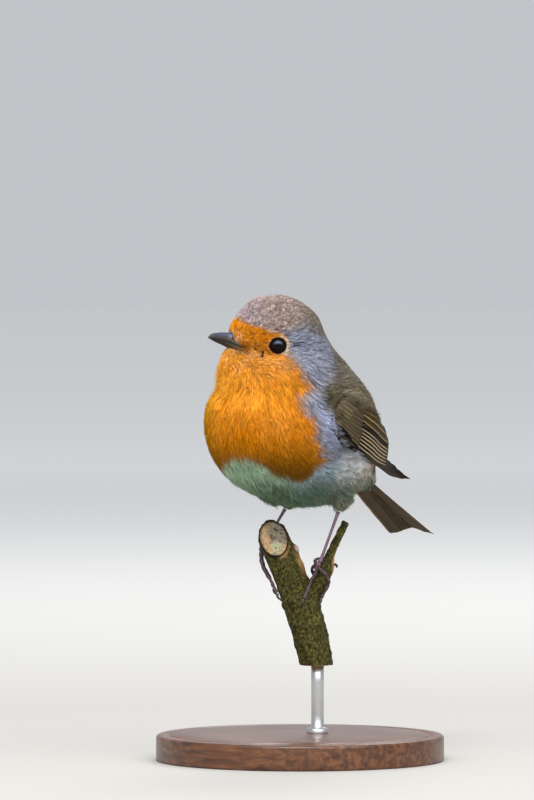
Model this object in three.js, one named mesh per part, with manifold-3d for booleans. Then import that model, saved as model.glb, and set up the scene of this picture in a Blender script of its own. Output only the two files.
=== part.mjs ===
// A European robin at life size, gripping the cut stub of a forked branch, on a plain display stand.
// Millimetres, +Z up. The bird's breast faces -Y and its left side is at +X.
// The origin is the middle of the underside of the stand's base.
import * as THREE from 'three';
import { mergeVertices } from 'three/addons/utils/BufferGeometryUtils.js';
import Module from 'manifold-3d';

const wasm = await Module();
wasm.setup();

const DEG = Math.PI / 180;
const vec = (x, y, z) => new THREE.Vector3(x, y, z);

// ---------------------------------------------------------------- driving dimensions

const GAP = 0.3;                       // clearance between pieces that touch
const HEAD_AT = vec(-2.5, -8, 133.1);  // middle of the skull
const HEAD_TURN = 26 * DEG;            // head turned to the bird's right
const HEAD_TILT = 14 * DEG;            // bill raised
const TAIL_ROOT = vec(0, 27, 91);      // where the tail quills leave the body
const TAIL_TURN = 12 * DEG;            // tail swung to the bird's right
const TAIL_DROP = 23 * DEG;            // tail below level
const TAIL_LENGTH = 57;
const TAIL_HALF_ROOT = 5;              // half width of the closed tail at its root
const TAIL_HALF_TIP = 8;
const TAIL_NOTCH = 1.6;                // depth of the shallow notch at its tip
const EYE_RADIUS = 3.2;
const EYE_AT = vec(8.6, -3.9, -4.2);   // left eye from the middle of the skull, in the head's own frame
const TARSUS_RADIUS = 0.68;
const TOE_RADIUS = 0.66;
const CLAW_RADIUS = 0.46;

const PERCH_TURN = 36 * DEG;           // the fork lies across a line this far off the breast's facing
const STUB_RADIUS = 4.85;
const STUB_CUT = vec(-8.1, 5, 68.75);  // middle of the stub's slanting cut, in the perch's frame
const STUB_LEAN = 22.7 * DEG;          // the stub's own slope off upright
const STUB_CUT_TILT = 52 * DEG;        // the cut's slope off square
const BRANCH_FOOT = vec(5.5, 5, 28);   // lower end of the branch, where the rod enters

const BASE_RADIUS = 45;
const BASE_HEIGHT = 8;
const BASE_EASE = 1.2;                 // bevel round the base's edges
const ROD_RADIUS = 2;

// ---------------------------------------------------------------- meshes and solids

/** Drops all but the positions and merges shared vertices, so that the surface is closed. */
function bare(geometry) {
  const source = geometry.index ? geometry.toNonIndexed() : geometry;
  const plain = new THREE.BufferGeometry();
  plain.setAttribute('position', source.getAttribute('position').clone());
  return mergeVertices(plain, 1e-4);
}

function toSolid(geometry) {
  const closed = bare(geometry);
  const mesh = new wasm.Mesh({
    numProp: 3,
    vertProperties: new Float32Array(closed.attributes.position.array),
    triVerts: new Uint32Array(closed.index.array),
  });
  return new wasm.Manifold(mesh);
}

function toGeometry(solid) {
  const mesh = solid.getMesh();
  const geometry = new THREE.BufferGeometry();
  geometry.setAttribute('position', new THREE.BufferAttribute(new Float32Array(mesh.vertProperties), 3));
  geometry.setIndex(Array.from(mesh.triVerts));
  geometry.computeVertexNormals();
  return geometry;
}

/** Keeps what lies on the side of the plane that the normal points away from. */
function keepBehind(solid, point, normal) {
  const size = 400;
  const block = new THREE.BoxGeometry(size, size, size);
  block.translate(0, 0, size / 2);
  const turn = new THREE.Quaternion().setFromUnitVectors(vec(0, 0, 1), normal.clone().normalize());
  block.applyQuaternion(turn);
  block.translate(point.x, point.y, point.z);
  return solid.subtract(toSolid(block));
}

/** Skins a row of rings, each a closed loop of points, and closes both ends with a fan. */
function loft(rings) {
  const count = rings[0].length;
  const points = rings.flat();
  const faces = [];
  for (let ring = 0; ring + 1 < rings.length; ring++) {
    for (let i = 0; i < count; i++) {
      const a = ring * count + i;
      const b = ring * count + (i + 1) % count;
      faces.push(a, b, a + count, b, b + count, a + count);
    }
  }
  const last = (rings.length - 1) * count;
  points.push(centreOf(rings[0]), centreOf(rings[rings.length - 1]));
  for (let i = 0; i < count; i++) {
    const next = (i + 1) % count;
    faces.push(points.length - 2, next, i);
    faces.push(points.length - 1, last + i, last + next);
  }
  const geometry = new THREE.BufferGeometry().setFromPoints(points);
  geometry.setIndex(faces);
  geometry.computeVertexNormals();
  return geometry;
}

function centreOf(ring) {
  return ring.reduce((sum, p) => sum.add(p), vec(0, 0, 0)).divideScalar(ring.length);
}

/** A round bar along a smooth curve; radiusAt gives its radius from 0 at the start to 1 at the end. */
function roundBar(points, radiusAt, steps, sides) {
  const curve = new THREE.CatmullRomCurve3(points, false, 'centripetal');
  const frames = curve.computeFrenetFrames(steps, false);
  const rings = [];
  for (let step = 0; step <= steps; step++) {
    const u = step / steps;
    const middle = curve.getPointAt(u);
    const ring = [];
    for (let i = 0; i < sides; i++) {
      const turn = i / sides * 2 * Math.PI;
      ring.push(middle.clone()
        .addScaledVector(frames.normals[step], Math.cos(turn) * radiusAt(u))
        .addScaledVector(frames.binormals[step], Math.sin(turn) * radiusAt(u)));
    }
    rings.push(ring);
  }
  return loft(rings);
}

/** Straight-line values between [place, value] pairs, eased so that the run has no corners. */
function profile(pairs) {
  const curve = new THREE.SplineCurve(pairs.map(([place, value]) => new THREE.Vector2(place, value)));
  return (place) => {
    let low = 0;
    let high = 1;
    for (let step = 0; step < 24; step++) {
      const middle = (low + high) / 2;
      if (curve.getPoint(middle).x < place) low = middle;
      else high = middle;
    }
    return curve.getPoint(low).y;
  };
}

// ---------------------------------------------------------------- the flesh and coat as a field

/** Distance to an ellipsoid, below zero inside it. */
function ellipsoid(at, size, frame = new THREE.Matrix4()) {
  const inverse = frame.clone().invert();
  return (p) => {
    const q = p.clone().applyMatrix4(inverse).sub(at);
    const k0 = vec(q.x / size.x, q.y / size.y, q.z / size.z).length();
    const k1 = vec(q.x / size.x ** 2, q.y / size.y ** 2, q.z / size.z ** 2).length();
    return k0 * (k0 - 1) / Math.max(k1, 1e-9);
  };
}

function blend(a, b, reach) {
  const h = THREE.MathUtils.clamp(0.5 + 0.5 * (b - a) / reach, 0, 1);
  return b + (a - b) * h - reach * h * (1 - h);
}

const headFrame = new THREE.Matrix4().compose(
  HEAD_AT,
  new THREE.Quaternion().setFromEuler(new THREE.Euler(-HEAD_TILT, 0, -HEAD_TURN, 'ZXY')),
  vec(1, 1, 1));
const tailFrame = new THREE.Matrix4().compose(
  TAIL_ROOT,
  new THREE.Quaternion().setFromEuler(new THREE.Euler(-TAIL_DROP, 0, TAIL_TURN, 'ZXY')),
  vec(1, 1, 1));

function pitched(at, degrees) {
  const turn = new THREE.Quaternion().setFromEuler(new THREE.Euler(-degrees * DEG, 0, 0));
  return new THREE.Matrix4().compose(at, turn, vec(1, 1, 1));
}

const HERE = vec(0, 0, 0);
const bodyMasses = [
  ellipsoid(HERE, vec(24.4, 31.5, 25.2), pitched(vec(0, -5, 104.8), 8)),   // breast and belly
  ellipsoid(HERE, vec(15, 17, 12), pitched(vec(0, 16, 97.5), -36)),        // rump and lower back
  ellipsoid(HERE, vec(12, 16, 7), pitched(vec(0, 20, 89.5), -14)),         // vent
  ellipsoid(HERE, vec(14.5, 18, 8), pitched(vec(-1.5, -6, 120.5), -8)),    // neck
];
const tailCovertMass = ellipsoid(vec(0, 5, -0.5), vec(6.5, 14, 4.5), tailFrame);
const headMasses = [
  ellipsoid(vec(0, 0, 0), vec(10.4, 15, 12.7), headFrame),                 // crown
  ellipsoid(vec(0, 6, -4), vec(9.5, 12.8, 10), headFrame),                 // nape
  ellipsoid(vec(2.4, 6, -8), vec(7.4, 9, 7.6), headFrame),                 // left cheek
  ellipsoid(vec(-2.4, 6, -8), vec(7.4, 9, 7.6), headFrame),                // right cheek
  ellipsoid(vec(0, -9, -2.6), vec(5.4, 8, 6.8), headFrame),                // lores and forehead
  ellipsoid(vec(0, -8, -10.5), vec(7, 9.2, 6), headFrame),                 // chin and throat
];

function flesh(p) {
  let distance = bodyMasses.reduce((sum, mass) => blend(sum, mass(p), 7), 1000);
  distance = blend(distance, tailCovertMass(p), 3);
  const head = headMasses.reduce((sum, mass) => blend(sum, mass(p), 2), 1000);
  return blend(distance, head, 4);
}

/** The skin of a field as seen from a point inside it, on an even net of directions. */
function rind(field, centre, detail, level = 0) {
  const geometry = bare(new THREE.IcosahedronGeometry(1, detail));
  const positions = geometry.getAttribute('position');
  const direction = vec(0, 0, 0);
  for (let i = 0; i < positions.count; i++) {
    direction.fromBufferAttribute(positions, i).normalize();
    const at = (reach) => centre.clone().addScaledVector(direction, reach);
    let far = 1;
    while (field(at(far)) < level) far += 1;
    let near = far - 1;
    for (let step = 0; step < 14; step++) {
      const middle = (near + far) / 2;
      if (field(at(middle)) < level) near = middle;
      else far = middle;
    }
    const found = at(far);
    positions.setXYZ(i, found.x, found.y, found.z);
  }
  return geometry;
}

// ---------------------------------------------------------------- head, neck and trunk

const TRUNK_HEART = vec(0, 2, 103);
const NECK_HEART = vec(-1, -6, 122);
const HEAD_HEART = HEAD_AT.clone().add(vec(0, 0, -2));
const collar = { at: vec(0, -5, 118.6), normal: vec(0, -0.2, 0.98).normalize() };
const nape = { at: vec(-2, -7, 126.4), normal: vec(-0.06, -0.26, 0.96).normalize() };

function shifted(plane, distance) {
  return plane.at.clone().addScaledVector(plane.normal, distance);
}

/** The flesh from a plane's margin on: side 1 keeps what is above the plane, -1 what is below. */
function bounded(field, plane, side) {
  const margin = 5;
  return (p) => Math.max(field(p), -side * p.clone().sub(plane.at).dot(plane.normal) - margin);
}

function trimmed(solid, plane, side) {
  return keepBehind(solid, shifted(plane, side * GAP / 2), plane.normal.clone().multiplyScalar(-side));
}

function makeTrunk() {
  return trimmed(toSolid(rind(bounded(flesh, collar, -1), TRUNK_HEART, 8)), collar, -1);
}

function makeNeck() {
  const field = bounded(bounded(flesh, collar, 1), nape, -1);
  return trimmed(trimmed(toSolid(rind(field, NECK_HEART, 7)), nape, -1), collar, 1);
}

function makeHead(cutters) {
  const cut = trimmed(toSolid(rind(bounded(flesh, nape, 1), HEAD_HEART, 7)), nape, 1);
  return cutters.reduce((solid, cutter) => solid.subtract(cutter), cut);
}

// ---------------------------------------------------------------- bill and eyes, in the head's frame

const BILL_ROOT = 9;       // how far ahead of the skull's middle the bill starts, under the feathers
const BILL_TIP = 23.8;
const culmen = profile([
  [9, -1.9], [13, -2.4], [15.4, -2.85], [17.3, -3.15], [19.6, -3.75], [21.1, -4.25], [22.6, -4.95],
  [23.3, -5.5], [BILL_TIP, -6.3]]);
const tomium = profile([
  [9, -8.1], [13, -6.9], [16.4, -6.5], [19, -6.45], [21.5, -6.6], [BILL_TIP, -6.65]]);
const gonys = profile([
  [9, -9.4], [12.5, -8.8], [15, -8.4], [17.2, -8.05], [19.6, -7.7], [21.6, -7.5], [BILL_TIP, -7.3]]);
const billHalfWidth = profile([
  [9, 3.5], [13, 2.8], [16.2, 2.1], [19, 1.5], [21.4, 0.95], [23, 0.5], [BILL_TIP, 0.14]]);

/** One half of the bill: a D-shaped section that rests its flat on the other half. */
function mandible(edge, ridge, widthShare, tip, grow = 0) {
  const steps = 8;
  const arc = 7;
  const rings = [];
  for (let step = 0; step <= steps; step++) {
    const along = BILL_ROOT + (tip + grow - BILL_ROOT) * step / steps;
    const place = Math.min(along, tip);
    const half = billHalfWidth(place) * widthShare + grow;
    const flat = edge(place) - Math.sign(ridge(place) - edge(place)) * grow;
    const height = ridge(place) - edge(place) + Math.sign(ridge(place) - edge(place)) * grow * 2;
    const ring = [];
    for (let i = 0; i <= arc; i++) {
      const turn = i / arc * Math.PI;
      ring.push(vec(Math.cos(turn) * half, -along, flat + height * Math.sin(turn) ** 0.8));
    }
    rings.push(ring);
  }
  const geometry = loft(rings);
  return ridge(BILL_ROOT) > edge(BILL_ROOT) ? geometry : flipped(geometry);
}

/** Turns a closed surface's faces the other way out. */
function flipped(geometry) {
  const index = geometry.index.array.slice();
  for (let i = 0; i < index.length; i += 3) [index[i], index[i + 1]] = [index[i + 1], index[i]];
  geometry.setIndex(Array.from(index));
  geometry.computeVertexNormals();
  return geometry;
}

const lowerEdge = (place) => tomium(place) - GAP;
const upperMandible = (grow) => mandible(tomium, culmen, 1, BILL_TIP, grow);
const lowerMandible = (grow) => mandible(lowerEdge, gonys, 0.9, BILL_TIP - 0.9, grow);

function eyeball(side, grow = 0) {
  const ball = new THREE.SphereGeometry(EYE_RADIUS + grow, 12, 8);
  ball.translate(side * EYE_AT.x, EYE_AT.y, EYE_AT.z);
  return ball;
}

// ---------------------------------------------------------------- wings and tail

const WING_FRONT = vec(0, -16, 108);    // bend of the folded wing, seen from the side
const WING_TIP = vec(0, 47.5, 87);
const wingUpper = profile([
  [0, 2.5], [0.06, 9], [0.16, 11.9], [0.24, 11.1], [0.32, 9], [0.42, 8.4], [0.52, 7.9], [0.62, 6.6],
  [0.8, 4.2], [0.93, 2], [1, 0.6]]);
const wingLower = profile([
  [0, -2], [0.06, -6], [0.16, -7.2], [0.42, -6.2], [0.62, -4.4], [0.8, -3], [0.93, -1.7], [1, -0.6]]);
const wingThickness = profile([[0, 1.6], [0.2, 2.2], [0.5, 2], [0.8, 1.5], [1, 1.1]]);
const WING_SINK = 1.4;                  // how far the blade's inner face starts inside the body
const BLADE_ROOT_X = 18;                // the free blade's distance from the middle, at the bend
const BLADE_TIP_X = 5.2;
const BLADE_LEAN = 0.36;                // the blade leans in towards its upper edge

/** Height of the body's side above the middle plane, at a place seen from the side. */
function flankX(y, z) {
  if (flesh(vec(0, y, z)) > 0) return 0;
  let near = 0;
  let far = 40;
  for (let step = 0; step < 18; step++) {
    const middle = (near + far) / 2;
    if (flesh(vec(middle, y, z)) < 0) near = middle;
    else far = middle;
  }
  return near;
}

/** A folded wing: a thin blade that lies on the body's side and runs on free above the tail. */
function wingBlade(side) {
  const stations = 14;
  const across = 6;
  const axis = WING_TIP.clone().sub(WING_FRONT);
  const length = axis.length();
  const along = axis.clone().normalize();
  const up = vec(0, -along.z, along.y);
  const rings = [];
  for (let station = 0; station <= stations; station++) {
    const s = station / stations;
    const outer = [];
    const inner = [];
    for (let i = 0; i <= across; i++) {
      const share = i / across;
      const t = THREE.MathUtils.lerp(wingLower(s), wingUpper(s), share);
      const place = WING_FRONT.clone().addScaledVector(along, s * length).addScaledVector(up, t);
      const free = THREE.MathUtils.lerp(BLADE_ROOT_X, BLADE_TIP_X, s) - BLADE_LEAN * t;
      const seat = -blend(-flankX(place.y, place.z), -free, 4);
      const thick = wingThickness(s) * (0.25 + 0.75 * Math.sin(Math.PI * (0.08 + 0.84 * share)) ** 0.6);
      const sink = WING_SINK * (1 - THREE.MathUtils.smoothstep(s, 0.5, 0.75));
      outer.push(vec(side * (seat + thick), place.y, place.z));
      inner.push(vec(side * (seat - sink), place.y, place.z));
    }
    rings.push([...outer, ...inner.reverse()]);
  }
  const blade = loft(rings);
  return side > 0 ? flipped(blade) : blade;
}

function makeWing(side, trunkGrown) {
  return toSolid(wingBlade(side)).subtract(trunkGrown);
}

/** The closed tail: a shallow arch that widens to a notched tip. */
function tailFan() {
  const stations = 8;
  const across = 8;
  const rings = [];
  for (let station = 0; station <= stations; station++) {
    const s = station / stations;
    const half = THREE.MathUtils.lerp(TAIL_HALF_ROOT, TAIL_HALF_TIP, s ** 0.8);
    const thick = THREE.MathUtils.lerp(2.6, 1.1, s);
    const top = [];
    const under = [];
    for (let i = 0; i <= across; i++) {
      const share = i / across * 2 - 1;
      const reach = s * (TAIL_LENGTH - TAIL_NOTCH * (1 - Math.abs(share)) * s);
      const arch = -1.6 * share * share;
      const body = thick * (1 - 0.55 * share * share) / 2;
      top.push(vec(share * half, reach, arch + body));
      under.push(vec(share * half, reach, arch - body));
    }
    rings.push([...top, ...under.reverse()]);
  }
  return loft(rings);
}

// ---------------------------------------------------------------- the perch, in its own turned frame

const stubLine = [
  BRANCH_FOOT, vec(3.4, 5, 38), vec(1, 5, 46.5), vec(-3.4, 5, 57.5), STUB_CUT, vec(-11.4, 5, 76.7)];
const stubGirth = profile([[0, 5.1], [0.3, 5.5], [0.42, 5.5], [0.6, STUB_RADIUS], [1, STUB_RADIUS]]);
const twigLine = [
  vec(1.6, 4.8, 46), vec(5.4, 4.3, 53), vec(8.1, 4, 59.5), vec(9.7, 4.2, 64.5), vec(14.4, 5, 74.2)];
const twigGirth = profile([
  [0, 3], [0.25, 2.5], [0.45, 2.35], [0.52, 2.5], [0.6, 1.5], [0.8, 1.15], [1, 1.1]]);

/** Distance to a limb of the branch: the nearest point of its line, less its radius there. */
function limb(points, girth) {
  const samples = new THREE.CatmullRomCurve3(points, false, 'centripetal').getSpacedPoints(60);
  return (p) => samples.reduce(
    (least, q, i) => Math.min(least, p.distanceTo(q) - girth(i / 60)), 1000);
}

const stubField = limb(stubLine, stubGirth);
const twigField = limb(twigLine, twigGirth);
const woodField = (p) => blend(stubField(p), twigField(p), 1.2);

/** Moves a point until it stands a given height off the wood. */
function settle(p, height) {
  const found = p.clone();
  const nudge = 0.05;
  for (let step = 0; step < 6; step++) {
    const here = woodField(found);
    const slope = vec(
      woodField(found.clone().add(vec(nudge, 0, 0))) - here,
      woodField(found.clone().add(vec(0, nudge, 0))) - here,
      woodField(found.clone().add(vec(0, 0, nudge))) - here).normalize();
    found.addScaledVector(slope, height - here);
  }
  return found;
}

function makeBranch() {
  const limbSolid = toSolid(roundBar(stubLine, stubGirth, 18, 14));
  const rise = vec(-Math.sin(STUB_LEAN), 0, Math.cos(STUB_LEAN));
  const cut = rise.multiplyScalar(Math.cos(STUB_CUT_TILT)).add(vec(0, -Math.sin(STUB_CUT_TILT), 0));
  const topped = keepBehind(limbSolid, STUB_CUT, cut);
  return keepBehind(topped, BRANCH_FOOT.clone().add(vec(0, 0, 1.5)), vec(0, 0, -1));
}

function makeTwig() {
  const limbSolid = toSolid(roundBar(twigLine, twigGirth, 14, 10));
  const grownStub = toSolid(roundBar(stubLine, (u) => stubGirth(u) + GAP, 18, 14));
  return limbSolid.subtract(grownStub);
}

// ---------------------------------------------------------------- legs and feet, in the perch's frame

const legs = {
  left: {
    top: vec(12, -0.1, 77.8),
    ankle: vec(5.9, 1.7, 60.8),
    toes: [
      [vec(4.3, 2.6, 60.6), vec(3.6, 4.8, 59.2), vec(4.2, 7, 57.6)],
      [vec(4.5, 1, 58.2), vec(2.8, 1.2, 55.2), vec(1.6, 0.6, 52.6), vec(0.9, 0.1, 50.4)],
      [vec(7.6, 0.9, 58.6), vec(8.6, 1.5, 55.8), vec(7.8, 1.4, 52.8), vec(6.9, 1.2, 50.6)],
      [vec(5.4, 3.4, 61.8), vec(5.8, 6.2, 62.6), vec(8.4, 7.4, 62.2), vec(10.4, 6.6, 61)],
    ],
  },
  right: {
    top: vec(-4.6, 12.6, 78),
    ankle: vec(-12, 10.2, 65.5),
    toes: [
      [vec(-13.6, 8.2, 62), vec(-13, 7.6, 58.5), vec(-11.4, 6.8, 55.6), vec(-9.9, 6, 53)],
      [vec(-12.4, 6.2, 62), vec(-11.4, 4.1, 58), vec(-10, 2.7, 54.4), vec(-8.6, 1.9, 51.8)],
      [vec(-11, 10.4, 62), vec(-9, 11, 58.4), vec(-7, 11, 55.2)],
      [vec(-9.8, 11.4, 64.4), vec(-6, 11.8, 63.2), vec(-2.6, 10.4, 61.8)],
    ],
  },
};
const TOE_LIFT = [1.3, 0.5, 0.9, 0.25, 0.12];   // how the knuckles arch off the wood, root to tip
const TOE_STEPS = 9;

/** The line of one toe: from the ankle over its knuckles, kept just off the wood. */
function toeLine(leg, knuckles) {
  const guide = new THREE.CatmullRomCurve3([leg.ankle, ...knuckles], false, 'centripetal');
  return guide.getSpacedPoints(TOE_STEPS).map((p, i) => {
    const place = i / TOE_STEPS * (TOE_LIFT.length - 1);
    const from = Math.floor(Math.min(place, TOE_LIFT.length - 2));
    const lift = THREE.MathUtils.lerp(TOE_LIFT[from], TOE_LIFT[from + 1], place - from);
    return i === 0 ? p : settle(p, TOE_RADIUS + GAP + lift);
  });
}

function makeFoot(leg) {
  const ball = new THREE.SphereGeometry(TOE_RADIUS * 1.35, 10, 6);
  ball.translate(leg.ankle.x, leg.ankle.y, leg.ankle.z);
  return leg.toes.reduce((solid, knuckles) => {
    const pads = (u) => TOE_RADIUS * (1 - 0.22 * u) * (1 + 0.08 * Math.cos(u * 6 * Math.PI));
    return solid.add(toSolid(roundBar(toeLine(leg, knuckles), pads, 9, 6)));
  }, toSolid(ball));
}

/** A claw leaves the toe's end a gap away, arches and comes down on the wood. */
function makeClaw(leg, knuckles) {
  const line = toeLine(leg, knuckles);
  const end = line[line.length - 1];
  const ahead = end.clone().sub(line[line.length - 2]).normalize();
  const reaches = [GAP, 1.3, 2.5, 3.6];
  const heights = [TOE_RADIUS + 0.5, TOE_RADIUS + 0.75, 0.85, 0.42];
  const points = reaches.map((reach, i) => {
    const p = end.clone().addScaledVector(ahead, reach);
    return i === 0 ? p : settle(p, heights[i]);
  });
  return toSolid(roundBar(points, (u) => CLAW_RADIUS * (1 - u) ** 0.7 + 0.05, 6, 6));
}

function makeTarsus(leg) {
  const rise = leg.top.clone().sub(leg.ankle).normalize();
  const low = leg.ankle.clone().addScaledVector(rise, TOE_RADIUS * 1.35 + GAP);
  const line = [leg.top, leg.top.clone().lerp(low, 0.5), low];
  const girth = (u) => TARSUS_RADIUS * (1 + 0.28 * (2 * u - 1) ** 4);
  return roundBar(line, girth, 6, 8);
}

/** The feathered shin, from inside the belly down to the top of the bare leg. */
function makeThigh(leg, trunkGrown, turned) {
  const rise = leg.top.clone().sub(leg.ankle).normalize();
  const low = leg.top.clone().addScaledVector(rise, GAP);
  const heart = TRUNK_HEART.clone().applyMatrix4(turned.clone().invert());
  const line = [low, low.clone().addScaledVector(rise, 3), low.clone().lerp(heart, 0.4)];
  const bar = roundBar(line, (u) => 1.3 + 3.6 * u ** 0.7, 7, 12);
  return toSolid(bar.applyMatrix4(turned)).subtract(trunkGrown);
}

// ---------------------------------------------------------------- the stand

function baseDisc() {
  const outline = [
    [0, 0], [BASE_RADIUS - BASE_EASE, 0], [BASE_RADIUS, BASE_EASE],
    [BASE_RADIUS, BASE_HEIGHT - BASE_EASE], [BASE_RADIUS - BASE_EASE, BASE_HEIGHT], [0, BASE_HEIGHT],
  ];
  const disc = new THREE.LatheGeometry(outline.map(([r, h]) => new THREE.Vector2(r, h)), 40);
  return disc.rotateX(Math.PI / 2);
}

function rodBar() {
  const low = BASE_HEIGHT + GAP;
  const high = BRANCH_FOOT.z + 1.5 - GAP;
  const rod = new THREE.CylinderGeometry(ROD_RADIUS, ROD_RADIUS, high - low, 20);
  return rod.rotateX(Math.PI / 2).translate(BRANCH_FOOT.x, BRANCH_FOOT.y, (low + high) / 2);
}

// ---------------------------------------------------------------- the assembled model

const model = new THREE.Group();
const head = new THREE.Group();
head.applyMatrix4(headFrame);
const tail = new THREE.Group();
tail.applyMatrix4(tailFrame);
const perch = new THREE.Group();
perch.rotation.z = PERCH_TURN;
perch.updateMatrix();
model.add(head, tail, perch);

function finish(color, roughness, metalness = 0) {
  return { color, roughness, metalness };
}

const ORANGE = finish(0xd9781c, 0.9);
const CROWN = finish(0x7a6a58, 0.9);
const SLATE = finish(0x8d90a0, 0.9);
const OLIVE = finish(0x6b5c44, 0.85);
const HORN = finish(0x33343c, 0.4);
const EYE = finish(0x0b0a0a, 0.08);
const LEG = finish(0x6b4a4c, 0.55);
const BARK = finish(0x5a5736, 0.95);
const WOOD = finish(0x5b3a22, 0.5);
const STEEL = finish(0xb9bcc0, 0.3, 1);

function place(group, name, geometry, look) {
  const mesh = new THREE.Mesh(geometry, new THREE.MeshStandardMaterial(look));
  mesh.name = name;
  group.add(mesh);
}

const sides = { left: 1, right: -1 };
const inWorld = (geometry, frame) => toSolid(bare(geometry).applyMatrix4(frame));
const trunk = makeTrunk();
const trunkGrown = toSolid(rind(bounded(flesh, collar, -1), TRUNK_HEART, 8, GAP));
const socketCutters = [
  inWorld(upperMandible(GAP), headFrame),
  inWorld(lowerMandible(GAP), headFrame),
  inWorld(eyeball(1, GAP), headFrame),
  inWorld(eyeball(-1, GAP), headFrame),
];

place(model, 'trunk', toGeometry(trunk), ORANGE);
place(model, 'neck', toGeometry(makeNeck()), SLATE);
place(model, 'head', toGeometry(makeHead(socketCutters)), CROWN);
place(head, 'bill_upper', upperMandible(0), HORN);
place(head, 'bill_lower', lowerMandible(0), HORN);
const tailInWorld = inWorld(tailFan(), tailFrame).subtract(trunkGrown);
place(tail, 'tail', toGeometry(tailInWorld).applyMatrix4(tailFrame.clone().invert()), OLIVE);

for (const [name, side] of Object.entries(sides)) {
  const leg = legs[name];
  place(head, `eye_${name}`, eyeball(side), EYE);
  place(model, `wing_${name}`, toGeometry(makeWing(side, trunkGrown)), OLIVE);
  place(model, `thigh_${name}`, toGeometry(makeThigh(leg, trunkGrown, perch.matrix)), SLATE);
  place(perch, `leg_${name}`, makeTarsus(leg), LEG);
  place(perch, `foot_${name}`, toGeometry(makeFoot(leg)), LEG);
  leg.toes.forEach((knuckles, i) => {
    place(perch, `claw_${name}_${i + 1}`, toGeometry(makeClaw(leg, knuckles)), HORN);
  });
}

place(perch, 'perch_branch', toGeometry(makeBranch()), BARK);
place(perch, 'perch_twig', toGeometry(makeTwig()), BARK);
place(model, 'stand_base', baseDisc(), WOOD);
place(perch, 'stand_rod', rodBar(), STEEL);

export default model;
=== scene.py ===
"""A robin at life size, gripping the cut fork of a branch, on a round wooden stand.

Lengths in this script are millimetres until a mesh is made. The bird's breast faces -Y and its left is +X.
"""

import math

import bpy
import numpy as np
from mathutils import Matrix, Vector
from mathutils.bvhtree import BVHTree
from mathutils.kdtree import KDTree


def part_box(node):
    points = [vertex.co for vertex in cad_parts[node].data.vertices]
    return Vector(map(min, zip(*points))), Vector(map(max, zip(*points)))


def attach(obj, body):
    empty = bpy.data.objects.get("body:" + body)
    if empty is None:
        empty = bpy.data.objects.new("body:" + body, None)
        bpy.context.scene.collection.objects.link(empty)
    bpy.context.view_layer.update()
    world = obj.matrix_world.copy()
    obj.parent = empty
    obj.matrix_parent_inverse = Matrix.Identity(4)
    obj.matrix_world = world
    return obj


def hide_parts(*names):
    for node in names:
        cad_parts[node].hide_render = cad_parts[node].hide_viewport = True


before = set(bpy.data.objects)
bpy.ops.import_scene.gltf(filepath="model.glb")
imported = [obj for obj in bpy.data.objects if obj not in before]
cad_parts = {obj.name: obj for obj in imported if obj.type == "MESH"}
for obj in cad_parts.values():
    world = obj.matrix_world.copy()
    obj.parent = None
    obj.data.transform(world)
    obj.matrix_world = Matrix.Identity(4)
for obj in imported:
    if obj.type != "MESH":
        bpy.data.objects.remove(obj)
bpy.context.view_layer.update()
rng = np.random.default_rng(11)

MM = 0.001

# ---------------------------------------------------------------- camera

AZIMUTH = math.radians(36)
ELEVATION = math.radians(2)
PX_PER_MM = 3.2
PICTURE = (534, 800)
FOOT_PX = (300, 760)          # where the middle of the base's underside falls in the picture
CAMERA_DISTANCE = 2500
SENSOR = 36

toward = Vector((math.sin(AZIMUTH) * math.cos(ELEVATION), -math.cos(AZIMUTH) * math.cos(ELEVATION),
                 math.sin(ELEVATION)))
right = Vector((math.cos(AZIMUTH), math.sin(AZIMUTH), 0))
upward = toward.cross(right)


def make_camera():
    """A long lens, nearly level with the bird and to its front left."""
    aim = right * ((PICTURE[0] / 2 - FOOT_PX[0]) / PX_PER_MM)
    aim += upward * ((FOOT_PX[1] - PICTURE[1] / 2) / PX_PER_MM)
    lens = bpy.data.cameras.new("camera")
    half_height = PICTURE[1] / 2 / PX_PER_MM
    lens.lens = SENSOR / 2 * CAMERA_DISTANCE / half_height
    lens.sensor_width = SENSOR
    lens.clip_start, lens.clip_end = 0.1, 50      # metres
    camera = bpy.data.objects.new("camera", lens)
    camera.location = (aim + toward * CAMERA_DISTANCE) * MM
    camera.rotation_mode = "QUATERNION"
    camera.rotation_quaternion = toward.to_track_quat("Z", "Y")
    bpy.context.scene.collection.objects.link(camera)
    bpy.context.scene.camera = camera


make_camera()

# ---------------------------------------------------------------- numbers


def unit(v):
    """Rows of vectors, each made one long."""
    return v / np.maximum(np.linalg.norm(v, axis=-1, keepdims=True), 1e-9)


def ease(x, low, high):
    """0 below low, 1 above high, and a smooth step between."""
    t = np.clip((x - low) / (high - low), 0, 1)
    return t * t * (3 - 2 * t)


def band(x, low, full, past, gone):
    """0 below low, 1 from full to past, and 0 again above gone."""
    return ease(x, low, full) * (1 - ease(x, past, gone))


def hill(*axes):
    """1 at one place, falling softly to 0 round it: each axis gives values, the place and the spread."""
    return np.exp(-sum(((values - place) / spread) ** 2 for values, place, spread in axes))


def mix(a, b, share):
    """a where share is 0 and b where it is 1, for rows of colours or directions."""
    share = np.asarray(share)[..., None]
    return a * (1 - share) + b * share


def full_turn(count):
    """Angles evenly round a circle."""
    return np.arange(count) / count * 2 * np.pi


def turn_x(angle):
    """A turn about the x axis."""
    c, s = math.cos(angle), math.sin(angle)
    return np.array([[1, 0, 0], [0, c, -s], [0, s, c]])


def turn_z(angle):
    """A turn about the z axis."""
    c, s = math.cos(angle), math.sin(angle)
    return np.array([[c, -s, 0], [s, c, 0], [0, 0, 1]])


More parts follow.
